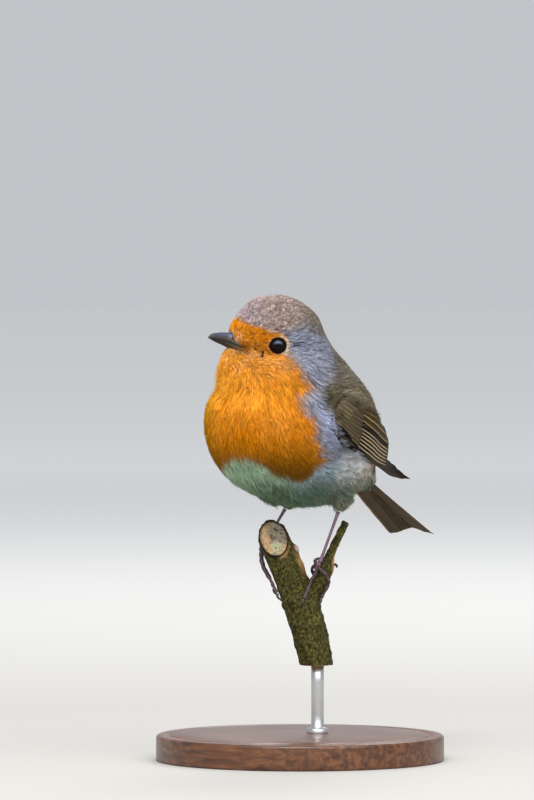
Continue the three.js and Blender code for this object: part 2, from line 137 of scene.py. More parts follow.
def lattice(cells, seed):
    """A settled number from 0 to 1 for each cell of a grid."""
    cells = cells.astype(np.int64)
    mixed = cells[..., 0] * 73856093 ^ cells[..., 1] * 19349663 ^ cells[..., 2] * 83492791 ^ seed * 40503
    mixed = (mixed ^ (mixed >> 13)) * 1274126177 & 0x7FFFFFFF
    return ((mixed ^ (mixed >> 15)) & 0xFFFF) / 65535


def grain(p, size, seed=0):
    """Soft noise from 0 to 1 with lumps of about the given size, which may differ along x, y and z."""
    q = p / np.asarray(size, float) + 50
    low = np.floor(q)
    f = q - low
    f = f * f * (3 - 2 * f)
    total = 0
    for corner in np.ndindex(2, 2, 2):
        weight = np.prod(np.where(np.array(corner) == 1, f, 1 - f), axis=-1)
        total = total + weight * lattice(low + np.array(corner), seed)
    return total


def tone(code):
    """An sRGB hex colour as linear red, green and blue."""
    srgb = np.array([int(code[i:i + 2], 16) / 255 for i in (1, 3, 5)])
    return np.where(srgb <= 0.04045, srgb / 12.92, ((srgb + 0.055) / 1.055) ** 2.4)


def curve_through(points, count):
    """Evenly spaced places on a smooth curve through a few points."""
    points = np.asarray(points, float)
    ends = np.vstack([2 * points[0] - points[1], points, 2 * points[-1] - points[-2]])
    fine = []
    for i in range(len(points) - 1):
        a, b, c, d = ends[i:i + 4]
        t = np.linspace(0, 1, 16, endpoint=False)[:, None]
        fine.append(0.5 * (2 * b + (c - a) * t + (2 * a - 5 * b + 4 * c - d) * t ** 2
                           + (3 * b - a - 3 * c + d) * t ** 3))
    fine = np.vstack([*fine, points[-1:]])
    run = np.concatenate([[0], np.cumsum(np.linalg.norm(np.diff(fine, axis=0), axis=1))])
    at = np.linspace(0, run[-1], count)
    return np.stack([np.interp(at, run, fine[:, k]) for k in range(points.shape[1])], axis=1)


def profile(*pairs):
    """A smooth size along a run, from pairs of place and value."""
    xs, ys = np.array(pairs, float).T
    slopes = np.gradient(ys, xs)

    def at(x):
        x = np.clip(x, xs[0], xs[-1])
        i = np.clip(np.searchsorted(xs, x, side="right") - 1, 0, len(xs) - 2)
        span = xs[i + 1] - xs[i]
        t = (x - xs[i]) / span
        return ((2 * t ** 3 - 3 * t ** 2 + 1) * ys[i] + (t ** 3 - 2 * t ** 2 + t) * span * slopes[i]
                + (3 * t ** 2 - 2 * t ** 3) * ys[i + 1] + (t ** 3 - t ** 2) * span * slopes[i + 1])
    return at


# ---------------------------------------------------------------- meshes


def vertex_normals(points, faces):
    """Which way the surface faces at each vertex, by the area of the triangles round it."""
    corners = points[faces]
    across = np.cross(corners[:, 1] - corners[:, 0], corners[:, 2] - corners[:, 0])
    total = np.zeros_like(points)
    for axis in range(3):
        for corner in range(3):
            total[:, axis] += np.bincount(faces[:, corner], across[:, axis], len(points))
    return unit(total)


def relaxed(values, faces, rounds, back=-0.52):
    """Evens out a value or place held at each vertex; the backward steps keep a shape from shrinking."""
    edges = np.vstack([faces[:, [0, 1]], faces[:, [1, 2]], faces[:, [2, 0]]])
    pairs = np.unique(np.sort(edges, axis=1), axis=0)
    a, b = np.concatenate([pairs[:, 0], pairs[:, 1]]), np.concatenate([pairs[:, 1], pairs[:, 0]])
    values = values.reshape(len(values), -1).copy()
    degree = np.bincount(a, minlength=len(values))[:, None]
    for step in ([0.5, back] if back else [0.5]) * rounds:
        sums = np.stack([np.bincount(a, column[b], len(values)) for column in values.T], axis=1)
        values += step * (sums / np.maximum(degree, 1) - values)
    return values


def gathered(parts):
    """Joins (points, faces) parts into one."""
    points, faces, base = [], [], 0
    for part_points, part_faces in parts:
        points.append(part_points)
        faces.append(part_faces + base)
        base += len(part_points)
    return np.vstack(points), np.vstack(faces)


def bare_mesh(name, points, faces):
    """A smooth mesh in metres, from places in millimetres."""
    mesh = bpy.data.meshes.new(name)
    mesh.vertices.add(len(points))
    mesh.vertices.foreach_set("co", (points * MM).astype(np.float32).ravel())
    mesh.loops.add(faces.size)
    mesh.loops.foreach_set("vertex_index", faces.astype(np.int32).ravel())
    mesh.polygons.add(len(faces))
    mesh.polygons.foreach_set("loop_start", np.arange(0, faces.size, faces.shape[1], dtype=np.int32))
    mesh.update(calc_edges=True)
    mesh.shade_smooth()
    return mesh


def add_piece(name, points, faces, material, nodes=(), tints=None, maps=None):
    """Makes a piece that rides with the model and stands for some of the frame's nodes."""
    mesh = bare_mesh(name, points, faces)
    if tints is not None:
        colours = np.concatenate([tints, np.ones((len(tints), 1))], axis=1)
        layer = mesh.color_attributes.new("tint", "FLOAT_COLOR", "POINT")
        layer.data.foreach_set("color", colours.astype(np.float32).ravel())
    for map_name, corners in (maps or {}).items():
        layer = mesh.uv_layers.new(name=map_name)
        layer.data.foreach_set("uv", corners.astype(np.float32).ravel())
    mesh.materials.append(material)
    piece = bpy.data.objects.new(name, mesh)
    bpy.context.scene.collection.objects.link(piece)
    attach(piece, "root")
    if nodes:
        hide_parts(*nodes)
    return piece


def node_solid(name, growth=0.0):
    """A frame node's points and triangles, moved out along the normals."""
    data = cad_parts[name].data
    points = np.empty(len(data.vertices) * 3, np.float32)
    data.vertices.foreach_get("co", points)
    data.calc_loop_triangles()
    faces = np.empty(len(data.loop_triangles) * 3, np.int32)
    data.loop_triangles.foreach_get("vertices", faces)
    points = points.reshape(-1, 3).astype(float) / MM
    _, first, same = np.unique(np.round(points, 3), axis=0, return_index=True, return_inverse=True)
    points, faces = points[first], same.ravel()[faces].reshape(-1, 3)
    return points + vertex_normals(points, faces) * growth, faces


def remeshed(points, faces, voxel):
    """One closed surface round all that the solids fill."""
    rough = bpy.data.objects.new("rough", bare_mesh("rough", points, faces))
    bpy.context.scene.collection.objects.link(rough)
    wrap = rough.modifiers.new("wrap", "REMESH")
    wrap.mode = "VOXEL"
    wrap.voxel_size = voxel * MM
    mesh = bpy.data.meshes.new_from_object(rough.evaluated_get(bpy.context.evaluated_depsgraph_get()))
    found = np.empty(len(mesh.vertices) * 3, np.float32)
    mesh.vertices.foreach_get("co", found)
    mesh.calc_loop_triangles()
    triangles = np.empty(len(mesh.loop_triangles) * 3, np.int32)
    mesh.loop_triangles.foreach_get("vertices", triangles)
    bpy.data.objects.remove(rough)
    bpy.data.meshes.remove(mesh)
    return found.reshape(-1, 3).astype(float) / MM, triangles.reshape(-1, 3)


def loft(rings):
    """A closed surface through rings of points: points, faces, and each corner's place round and along."""
    rings = np.asarray(rings, float)
    rows, sides = rings.shape[:2]
    points = np.vstack([rings.reshape(-1, 3), rings[0].mean(0), rings[-1].mean(0)])
    row, side = (index.ravel() for index in np.meshgrid(np.arange(rows), np.arange(sides), indexing="ij"))
    low, first, last = row < rows - 1, row == 0, row == rows - 1

    def corner(pick, down, across):
        i, j = row[pick] + down, side[pick] + across
        return i * sides + j % sides, np.stack([j / sides, i / (rows - 1)], axis=1)

    def hub(pick, number, v):
        return np.full(pick.sum(), rows * sides + number), np.tile([0.5, v], (pick.sum(), 1))

    triangles = [(corner(low, 0, 0), corner(low, 0, 1), corner(low, 1, 0)),
                 (corner(low, 0, 1), corner(low, 1, 1), corner(low, 1, 0)),
                 (corner(first, 0, 1), corner(first, 0, 0), hub(first, 0, -0.06)),
                 (corner(last, 0, 0), corner(last, 0, 1), hub(last, 1, 1.06))]
    faces = np.vstack([np.stack([index for index, _ in three], axis=1) for three in triangles])
    spots = np.vstack([np.stack([spot for _, spot in three], axis=1) for three in triangles])
    a, b, c = points[faces].transpose(1, 0, 2)
    if (a * np.cross(b, c)).sum() < 0:
        faces, spots = faces[:, ::-1], spots[:, ::-1]
    return points, faces, spots


def sweep(line, radius, sides):
    """A closed tube along a line: (points, faces)."""
    line = np.asarray(line, float)
    way = unit(np.gradient(line, axis=0))
    across = np.empty_like(line)
    side = np.cross(way[0], [0, 0, 1])
    for i, forward in enumerate(way):
        side = unit(side - forward * (side @ forward))
        across[i] = side
    over = np.cross(across, way)
    angle = full_turn(sides)
    ring = across[:, None] * np.cos(angle)[:, None] + over[:, None] * np.sin(angle)[:, None]
    radius = np.broadcast_to(np.asarray(radius, float), len(line))
    return loft(line[:, None] + ring * radius[:, None, None])[:2]


def ground_of(points, faces):
    """A surface to feel for: a search tree and each face's smooth normal."""
    tree = BVHTree.FromPolygons(points.tolist(), faces.tolist(), all_triangles=True)
    return tree, unit(vertex_normals(points, faces)[faces].mean(axis=1))


def nearest_on(ground, places):
    """The surface's nearest place to each place, and its normal there."""
    tree, normals = ground
    found, faces = np.empty_like(places), np.empty(len(places), int)
    for i, place in enumerate(places.tolist()):
        spot, _, faces[i], _ = tree.find_nearest(place)
        found[i] = spot
    return found, normals[faces]


def gap_ahead(ground, places, ways, reach):
    """How far each ray goes before it meets the surface, or reach if it doesn't."""
    gaps = np.full(len(places), float(reach))
    for i, (place, way) in enumerate(zip(places.tolist(), ways.tolist())):
        spot, _, _, distance = ground[0].ray_cast(place, way, reach)
        if spot is not None:
            gaps[i] = distance
    return gaps


# ---------------------------------------------------------------- places on the bird
#
# From here on p is places on the model, h the same places in the head's frame, and e in an eye's.

HEAD_TURN = math.radians(26)
HEAD_TILT = math.radians(14)
EYES_FROM_SKULL = np.array([0, -3.9, -4.2])
EYE_RADIUS = 3.2
EYE_WAY, EYE_LONG = np.array([0.882, -0.464, -0.08]), np.array([0.46, 0.81, 0.36])
LID_LONG, LID_TALL, LID = 2.36, 2.12, 0.2     # half the eyelids' opening each way, and their thickness
BILL_ROOT = np.array([0, -13.5, -6])         # where the face feathers spread from, in the head's frame
NAPE_AT, NAPE_UP = np.array([-2, -7, 126.4]), np.array([-0.06, -0.26, 0.964])
NECK_TOP = np.array([-2, -14, 130])
TAIL_ROOT = np.array([0, 27, 91])
TAIL_TURN, TAIL_DROP = math.radians(12), math.radians(23)
PERCH_TURN = math.radians(36)

HEAD = turn_z(-HEAD_TURN) @ turn_x(-HEAD_TILT)
TAIL = turn_z(TAIL_TURN) @ turn_x(-TAIL_DROP)
PERCH = turn_z(PERCH_TURN)
SIDES = {"left": 1, "right": -1}


def middle(node):
    """The middle of a frame node's box."""
    low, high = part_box(node)
    return np.array((low + high) / 2) / MM


eye_at = {side: middle(f"eye_{side}") for side in SIDES}
SKULL = (eye_at["left"] + eye_at["right"]) / 2 - HEAD @ EYES_FROM_SKULL


def to_head(p):
    """In the head's own frame: x to its left, -y ahead along the bill, z up."""
    return (p - SKULL) @ HEAD


def from_head(p):
    """Back from the head's own frame."""
    return np.asarray(p) @ HEAD.T + SKULL


def eye_frame(sign):
    """An eye's axis outwards, and the eyelids' long and short ways."""
    way = unit(EYE_WAY)
    long = unit(EYE_LONG - way * (EYE_LONG @ way))
    return np.stack([way, long, np.cross(way, long)]) * [sign, 1, 1] @ HEAD.T


eye_ways = {side: eye_frame(sign) for side, sign in SIDES.items()}


def eye_place(p, side):
    """Where places are from an eye: out along its axis, and along and across the lids."""
    return (p - eye_at[side]) @ eye_ways[side].T


def lid_gap(p):
    """How far places are outside the nearer eye's lids, in shares of the opening; below 1 is inside."""
    gaps = []
    for side in SIDES:
        e = eye_place(p, side)
        gaps.append(np.hypot(e[..., 1] / LID_LONG, e[..., 2] / LID_TALL) + 9 * (e[..., 0] < 0))
    return np.minimum(*gaps)


def bearing(p):
    """Degrees round the body: 0 at the breast, 90 at the left flank, 180 at the back."""
    return np.degrees(np.arctan2(p[..., 0], 2 - p[..., 1]))


WING_FRONT, WING_TIP = np.array([-16, 108]), np.array([47.5, 87])     # y and z, seen from the side
WING_LENGTH = np.linalg.norm(WING_TIP - WING_FRONT)
WING_ALONG = (WING_TIP - WING_FRONT) / WING_LENGTH
WING_UP = np.array([-WING_ALONG[1], WING_ALONG[0]])


def wing_place(p):
    """How far back along the folded wing and how far above its middle line a place is."""
    flat = p[..., 1:] - WING_FRONT
    return flat @ WING_ALONG, flat @ WING_UP


class Tract:
    """How long, close and thick the feathers are at some places on the bird."""

    def __init__(self, p):
        h = to_head(p)
        aside = np.abs(p[:, 0])
        on_head = ease((p - NAPE_AT) @ NAPE_UP, -7, 2)
        face = 1 - ease(np.linalg.norm(h - BILL_ROOT, axis=-1), 3.5, 13)
        rim = 1 - ease(lid_gap(p), 1.25, 1.8)
        above = ease(p[:, 2] - 0.15 * p[:, 1], 99, 112) * ease(np.abs(bearing(p)), 60, 100)
        belly = (1 - ease(p[:, 2], 84, 94)) * (1 - above)
        shin = (1 - ease(p[:, 2], 80.2, 82.5)) * ease(-p[:, 1], -14, -9) * ease(aside, 4, 6)
        crown = on_head * ease(h[:, 2], -1, 3)

        def blend(body, mantle, under, head, top, front, lid, leg):
            value = np.full(len(p), float(body))
            for share, other in ((above, mantle), (belly, under), (on_head, head), (crown, top),
                                 (shin, leg), (face, front), (rim, lid)):
                value += (other - value) * share
            return value

        self.length = blend(6.6, 4.6, 6.4, 3.2, 1.35, 1.5, 0.9, 2.6)
        self.gap = blend(0.78, 0.78, 0.9, 0.52, 0.4, 0.4, 0.3, 0.62)
        self.depth = blend(1.7, 1.3, 1.9, 1.1, 0.6, 0.6, 0.3, 0.7)
        self.barb = blend(0.072, 0.085, 0.09, 0.06, 0.065, 0.055, 0.05, 0.08)    # half a barb's width
        self.wildness = blend(0.7, 0.5, 1.0, 0.9, 0.35, 0.6, 1.0, 0.8)           # how far lines swerve
        self.ruffle = blend(0.07, 0.06, 0.2, 0.12, 0.1, 0.16, 0.3, 0.25)         # how unevenly barbs rise
        self.scaly = crown                                                       # tufts with light edges

        back, high = wing_place(p)
        scapular = ease(aside, 12, 15) * band(back, -3, 1, 24, 30) * ease(high, 2, 5)
        self.depth += 0.6 * scapular * (1 - on_head)
        wing_bend = ease(aside, 10.5, 12.5) * band(back, -3, 0, 7, 10) * (1 - ease(high, 4, 7))
        self.length += (2.9 - self.length) * wing_bend
        chin = on_head * (1 - ease(h[:, 2], -11.5, -9)) * (1 - ease(h[:, 1], -6, 0))
        self.length += 1.5 * chin
        self.ruffle += 0.55 * chin
        self.wildness += 0.8 * chin


def lie(p, up, swerve=0.0):
    """Which way feathers point: from the bill over the head, down the breast and back to the tail."""
    over_head = unit(to_head(p) - BILL_ROOT) @ HEAD.T
    down, out = p - NECK_TOP, TAIL_ROOT + [0, 9, -5] - p
    over_body = down / (down ** 2).sum(-1, keepdims=True) + out / (out ** 2).sum(-1, keepdims=True)
    round_body = np.abs(bearing(p))
    flank = band(round_body, 38, 56, 100, 140) * ease(p[:, 2], 86, 94)
    side_of_breast = band(round_body, 42, 54, 72, 90) * band(p[:, 2], 92, 97, 111, 117)
    over_body = unit(over_body) + (flank * 1.7 + side_of_breast * 1.9)[:, None] * [0, 1, 0.06]
    ahead = mix(unit(over_body), over_head, ease((p - NAPE_AT) @ NAPE_UP, -9, 3))
    for side in SIDES:
        outward = p - eye_at[side]
        ahead = mix(ahead, unit(outward), 0.95 * (1 - ease(lid_gap(p), 1.25, 1.7)))
    ahead = unit(ahead - up * (ahead * up).sum(-1, keepdims=True))
    swerve = np.broadcast_to(swerve, len(p))[:, None]
    return ahead * np.cos(swerve) + np.cross(up, ahead) * np.sin(swerve)


# ---------------------------------------------------------------- markings
#
# Here q is the places moved a little at random, so that no border between two colours is a clean line.

ORANGE, GOLD, RUST, THROAT_GOLD = tone("#e68f02"), tone("#f8ae42"), tone("#76500c"), tone("#ffb234")
LAVENDER, SLATE, BLUE_GREY = tone("#b3b7c9"), tone("#7b7e8e"), tone("#bcc5e4")
CROWN, CROWN_LIGHT, CROWN_FRONT = tone("#937f79"), tone("#cdb9ae"), tone("#a194a6")
OLIVE, OLIVE_LIGHT, NAPE = tone("#615847"), tone("#8b8268"), tone("#8d847c")
# The belly's green-tinted white is a painted cast of light bounced from leaves.
WHITE_IN_GREEN_LIGHT, WHITE_ASIDE, BUFF = tone("#b4d0b2"), tone("#a9bac4"), tone("#dfe2e4")
# The underside's dark green is painted shade, tinted by light from leaves.
UNDERSIDE_GREEN_SHADE, THIGH, DOWN = tone("#526f4f"), tone("#85806c"), tone("#54565c")
CHEEK, BORDER, LORE = tone("#dca66c"), tone("#b89a84"), tone("#6c3c10")
EYE_RING, CHIN, CREAM = tone("#f0dfc2"), tone("#fbc981"), tone("#f6d7a4")
COVERT, COVERT_EDGE = tone("#352b1d"), tone("#60543d")
BIB_MIDDLE = -6                  # degrees: the bib follows the turned head a little

# Round the body: (height, degrees from the bib's middle) of its sides, and (bearing, height) of its hem.
bib_edge = profile((84, 38), (88, 42), (89.5, 48), (92, 53), (94, 57), (96.2, 55.8), (99.8, 50.5),
                   (104.5, 51), (107.3, 48.5), (109, 44.5), (110.5, 42), (112.4, 41), (114.1, 42),
                   (115.3, 45.8), (117, 47), (118.8, 44.7), (120.9, 42.2), (123.4, 38.6), (125.8, 33.5),
                   (127.6, 29.3))
bib_hem = profile((-70, 97), (-55, 92.5), (-42, 89.6), (-32, 89.4), (-24, 90.6), (-18, 91.9), (-8, 93.7),
                  (2, 94.8), (9, 94.3), (11.6, 93.2), (14.6, 91.5), (18.5, 89.7), (23.7, 88.8), (30, 88.2),
                  (36, 88), (42, 89), (47, 92), (56, 96))
# In the head's frame: (from the middle line, height) of the orange brow, (height, back) of the orange
# cheek's rear edge, and (back, height) of the crown's lower edge.
brow = profile((0, 2.4), (2, 1.7), (4.2, 0.9), (6.8, 0.3), (8.2, 0), (9.1, -0.6), (10, -0.3), (12, -0.3))
cheek_edge = profile((-16, 3.2), (-14.3, 1.8), (-12.4, 0.7), (-10.1, -0.6), (-7.9, -1.6), (-6.2, -2.1),
                     (-4.4, -2.3), (-1, -2.4), (3, -3))
crown_edge = profile((-7, -2.6), (-5, -1.2), (-4, -0.4), (-2.7, 0.6), (0.5, 2.4), (4.7, 3.6), (9.3, 3),
                     (13.9, 1.1), (16.3, -0.8), (18, -4))
# The brown back: (height, bearing) of its edge down the sides, and (back, height) of its lower edge.
mantle_edge = profile((95, 64), (100, 63.8), (102.8, 59.6), (106, 56.5), (109.7, 52.8), (113.5, 50.5),
                      (116, 51), (118, 56.4), (121.9, 65), (125.9, 81), (128.3, 92), (135, 112))
mantle_floor = profile((-40, 99), (0, 97), (10, 95), (20, 93), (27, 91), (41, 85), (60, 77))


def side_colours(q, fine, broad):
    """The grey sides, the white belly with a painted green cast, buff flanks and the underside's painted
    green shade, which lie below the back.
    """
    round_body, z = bearing(q), q[:, 2]
    aside, off_middle = np.abs(round_body), np.abs(round_body - BIB_MIDDLE)
    colour = mix(LAVENDER, SLATE, 0.55 * fine + 0.2 * broad)
    colour = mix(colour, BLUE_GREY, 0.64 * band(aside, 42, 50, 66, 80) * band(z, 96, 104, 111, 117))
    dusky = band(aside, 42, 50, 70, 80) * (1 - ease(z, 103, 107))
    colour = colour * (1 - 0.2 * dusky)[:, None]

    # The belly's white, with its painted green cast of light from leaves.
    white = mix(WHITE_IN_GREEN_LIGHT, WHITE_ASIDE, ease(aside, 14, 46))
    level = z - 6 * (1 - ease(off_middle, 14, 32)) - 2 * ease(off_middle, 36, 50)
    colour = mix(colour, white, 1 - ease(level, 89, 94.5))
    strands = ease(grain(q, (2.5, 5, 0.7), 49), 0.45, 0.75)
    flank = mix(BUFF * 1.2, BUFF * [0.72, 0.66, 0.6], strands)
    flank = mix(flank, flank * [1.02, 0.88, 0.76], ease(q[:, 1], 3, 14))
    colour = mix(colour, flank, 0.85 * ease(aside, 60, 74) * (1 - ease(z, 94, 99)))

    # Painted shade: the low belly darkens to a green-lit shade.
    colour = mix(colour, UNDERSIDE_GREEN_SHADE, 0.85 * (1 - ease(z - 2 * ease(round_body, 26, 46), 81, 90)))
    # A painted shadow: a darker green patch low on the belly's middle.
    shadowy = hill((round_body, 11, 12), (z, 85.8, 2.6))
    colour = mix(colour, UNDERSIDE_GREEN_SHADE * 0.35, 0.75 * shadowy * ease(grain(q, (0.9, 2.2, 2.2), 50), 0.3, 0.6))
    thigh = (1 - ease(z, 78, 84)) * ease(np.abs(q[:, 0]), 7, 10) * ease(q[:, 1], -9, -5)
    return mix(colour, THIGH, 0.75 * thigh)


def back_colours(q, fine, broad):
    """The olive-brown back, darker on the wing's shoulder and greyer up the nape."""
    behind, high = wing_place(q)
    colour = mix(OLIVE, OLIVE_LIGHT, ease(fine + 0.3 * broad, 0.3, 1.1))
    on_wing = ease(np.abs(q[:, 0]), 14, 17.5) * ease(behind, -2, 3) * (1 - ease(high, 6, 10))
    colour = mix(colour, mix(COVERT, COVERT_EDGE, ease(fine + 0.3 * broad, 0.4, 1.2)), 0.8 * on_wing)
    return mix(colour, NAPE, 0.55 * ease(q[:, 2], 114, 122))


def crown_colours(p, h, back, broad):
    """The speckled grey-brown crown, which runs into the back's brown behind."""
    colour = mix(CROWN, CROWN_LIGHT, ease(grain(p, 0.35, 43) + 0.1 * broad, 0.35, 0.85))
    colour = mix(colour, back, 0.85 * ease(h[:, 1] + 0.3 * (6 - h[:, 2]), -3, 8))
    return mix(colour, CROWN_FRONT, 0.3 * (1 - ease(h[:, 1], -13, -6)))


def bib_colours(p, q, h, fine, broad, locks):
    """The orange of the breast and face: gold on the throat, rust between the locks, and painted shade
    towards the hem and on the side turned from the light.
    """
    round_body, z = bearing(q), q[:, 2]
    off_middle = np.abs(round_body - BIB_MIDDLE)
    throat = ease(z, 106, 115) * (1 - ease(h[:, 2], -9.5, -6.5)) * ease(bib_edge(z) - off_middle, 2, 12)
    colour = mix(ORANGE, GOLD, (0.28 + 0.5 * throat) * ease(locks + 0.35 * broad + 0.1 * fine, 0.45, 1.05))
    colour = mix(colour, GOLD, 0.55 * hill((round_body, 23, 7), (z, 107, 6)))
    colour = mix(colour, RUST, (0.1 + 0.34 * throat) * (1 - ease(locks + 0.1 * fine, 0.2, 0.5)))
    # Painted shade on the side of the breast turned away from the light.
    turned_away_shade = ease(BIB_MIDDLE - round_body, 0, 26) * (1 - ease(z, 112, 120))
    colour = colour * (1 - turned_away_shade[:, None] * [0.4, 0.2, 0.66])
    colour = mix(colour, THROAT_GOLD, 0.6 * throat) * (1 + 0.12 * throat)[:, None]
    brown_flecks = ease(z, 119, 123) * ease(h[:, 2], -9.5, -6.5)
    colour = colour * (1 - 0.1 * brown_flecks)[:, None]
    colour = mix(colour, LORE, brown_flecks * ease(grain(p, 0.45, 44), 0.6, 0.95))
    # Painted shade: the breast darkens to rust towards its hem.
    colour = mix(colour, RUST, 0.9 * (1 - ease(z, 89, 103)))
    return mix(colour, RUST, 0.25 * ease(fine, 0.6, 1))


def bib_shares(q, h):
    """How far the orange covers each place, and how close each place is to the orange's border."""
    round_body, z = bearing(q), q[:, 2]
    inside = bib_edge(z) - np.abs(round_body - BIB_MIDDLE)
    before_edge = cheek_edge(h[:, 2]) - h[:, 1]
    on_face = ease(z, 121, 127)
    fringe = 8 * (grain(q, (4, 4, 0.8), 54) - 0.5) * (1 - ease(z, 110, 114))
    bib = ease((inside + fringe) * 0.4, -1.3, 1.2) * ease(z - bib_hem(round_body), -1.4, 1.2)
    loose = 0.7 + 0.9 * (1 - ease(h[:, 2], -9, -5))
    face = ease(brow(np.abs(h[:, 0])) - h[:, 2], -0.6, 0.6) * ease(before_edge / loose, -1, 1)
    wide_bib, wide_face = ease(inside * 0.42, -3.4, 2.6), ease(before_edge, -3.4, 2)
    wide = wide_bib + (wide_face - wide_bib) * on_face
    border = 4 * wide * (1 - wide) * ease(z, 90, 95) * (0.5 + 0.5 * ease(z, 110, 116))
    return bib + (face - bib) * on_face, border * (1 - ease(h[:, 2], -7, -4))


def with_bill_marks(colour, p, h, fine, locks):
    """Adds the tan cheek, the streaks from bill to eye, and the pale feathers above and below the bill."""
    spread, beside = np.linalg.norm(h - BILL_ROOT, axis=-1), np.abs(h[:, 0])
    cheek = hill((h[:, 1], -4, 3.6), (h[:, 2], -10.4, 2.4)) * ease(beside, 5, 8)
    colour = mix(colour, CHEEK, 0.7 * cheek)
    strip = hill((h[:, 2] + 0.1 * (h[:, 1] + 12), -8.8, 1.1)) * (1 - ease(h[:, 1], -10, -7))
    colour = mix(colour, CHEEK, 0.6 * strip)
    lores = (1 - ease(spread, 5, 9)) * hill((h[:, 2], -6.9, 1.3))
    colour = mix(colour, LORE, 0.8 * lores * ease(grain(p, 0.5, 53), 0.3, 0.6))
    pale_chin = hill((h[:, 1], -12.5, 5), (h[:, 2], -13, 4.2))
    colour = mix(colour, CHIN, 0.55 * pale_chin * ease(locks + 0.3 * fine, 0.25, 0.8))
    cream = (1 - ease(spread, 4.2, 6)) * ease(h[:, 2], -5.5, -4)
    return mix(colour, CREAM, 0.6 * cream * ease(grain(p, 0.4, 47), 0.35, 0.7))


def with_eye_marks(colour, p, h):
    """Adds the pale ring round the eye, broadest behind and below, and the dark line over it."""
    rear = ease(h[:, 1] + 0.35 * h[:, 2], -6.3, -4.3)
    high = ease(h[:, 1] + 1.2 * h[:, 2], -7.6, -5)
    low = rear * (1 - ease(h[:, 2], -5.4, -4.4))
    inner = 1.24 + 0.2 * rear + 0.15 * high + 0.25 * low
    outer = 1.46 + 0.2 * rear + 0.4 * high + 0.6 * low
    ring = (0.15 + 0.8 * rear) * (1 - ease(lid_gap(p), inner, outer))
    colour = mix(colour, mix(EYE_RING, CHEEK, 0.45 * high), ring * ease(grain(p, 0.3, 45), 0.05, 0.45))
    eyebrow = hill((h[:, 2] - crown_edge(h[:, 1]), -0.5, 0.4)) * band(h[:, 1], -3.5, -1, 8, 11)
    return mix(colour, OLIVE * 0.35, 0.6 * eyebrow * ease(grain(p, 0.7, 48), 0.2, 0.6))


def plumage(p):
    """The colour of the feathers that show at each place."""
    wander = np.stack([grain(p, 2.2, 30 + k) for k in range(3)], axis=-1) - 0.5
    q = p + 1.6 * wander
    h = to_head(q)
    fine, broad = grain(p, 0.8, 41), grain(p, 6, 42)
    along_feathers = np.stack([bearing(q) * 0.3, q[:, 2] * 0.14, 0 * q[:, 2]], axis=-1)
    locks = grain(along_feathers, 1, 46)

    back = back_colours(q, fine, broad)
    reach = (np.abs(bearing(q)) - mantle_edge(q[:, 2])) * 0.35 / (1.3 + 1.9 * ease(q[:, 2], 112, 119))
    on_back = ease(reach, -1, 1) * ease(q[:, 2] - mantle_floor(q[:, 1]), -1.2, 1.2)
    colour = mix(side_colours(q, fine, broad), back, on_back)
    on_head = ease((q - NAPE_AT) @ NAPE_UP, -3, 4)
    soft = 0.6 + 1.6 * ease(h[:, 1], -3, 3)
    on_crown = on_head * ease((h[:, 2] - crown_edge(h[:, 1])) / soft, -1, 1)
    colour = mix(colour, crown_colours(p, h, back, broad), on_crown)

    shown, border = bib_shares(q, h)
    colour = mix(colour, bib_colours(p, q, h, fine, broad, locks), shown)
    colour = mix(colour, BORDER, 0.75 * border * ease(grain(q, (1.1, 1.1, 2), 52), 0.2, 0.6))
    h = to_head(p + 0.3 * wander)
    return with_eye_marks(with_bill_marks(colour, p, h, fine, locks), p, h)


# ---------------------------------------------------------------- finishes


def add(tree, kind, inputs=None, **settings):
    """Adds a node to a material, with its settings, its inputs' values and the sockets linked to them."""
    made = tree.nodes.new("ShaderNode" + kind)
    for name, value in settings.items():
        setattr(made, name, value)
    for name, value in (inputs or {}).items():
        if isinstance(value, bpy.types.NodeSocket):
            tree.links.new(value, made.inputs[name])
        elif isinstance(value, bpy.types.Node):
            tree.links.new(value.outputs[0], made.inputs[name])
        else:
            made.inputs[name].default_value = value
    return made


def finish(name, build, **sockets):
    """A material: build(tree) gives what is linked to the shader, and sockets holds its plain values."""
    material = bpy.data.materials.new(name)
    material.use_nodes = True
    tree = material.node_tree
    shader = tree.nodes["Principled BSDF"]
    for socket, value in sockets.items():
        shader.inputs[socket.replace("_", " ")].default_value = value
    for socket, source in build(tree).items():
        tree.links.new(source if isinstance(source, bpy.types.NodeSocket) else source.outputs[0],
                       shader.inputs[socket])
    return material


def ramp(tree, fac, *stops):
    """Colours at places from 0 to 1 along fac."""
    made = add(tree, "ValToRGB", {"Fac": fac})
    elements = made.color_ramp.elements
    while len(elements) < len(stops):
        elements.new(0.5)
    for element, (place, code) in zip(elements, stops):
        element.position = place
        element.color = (*tone(code), 1)
    return made


def millimetres(tree, x=1, y=1, z=1):
    """Places on the model in millimetres, squeezed along each axis."""
    places = add(tree, "TexCoord").outputs["Object"]
    return add(tree, "Mapping", {"Vector": places, "Scale": (x / MM, y / MM, z / MM)})


def tinted(tree, share):
    """The piece's own tint, made lighter or darker by share, a value round 1."""
    tint = add(tree, "VertexColor", layer_name="tint")
    return add(tree, "VectorMath", {0: tint.outputs["Color"], 1: share}, operation="MULTIPLY")


def patchy(tree, coordinates, scale, low, high, detail=3.0):
    """Noise as a value that runs from low to high."""
    noise = add(tree, "TexNoise", {"Vector": coordinates, "Scale": scale, "Detail": detail})
    return add(tree, "MapRange", {"Value": noise.outputs["Fac"], "From Min": 0.3, "From Max": 0.7,
                                  "To Min": low, "To Max": high})


def raised(tree, height, millimetres_high, strength=1.0):
    """A bump as high as given where height is 1."""
    return add(tree, "Bump", {"Height": height, "Distance": millimetres_high * MM, "Strength": strength})


def barbs(tree):
    """Soft matt barbs, a little lighter and darker from one to the next as their tips catch the light."""
    return {"Base Color": tinted(tree, patchy(tree, millimetres(tree), 1.4, 0.95, 1.05))}


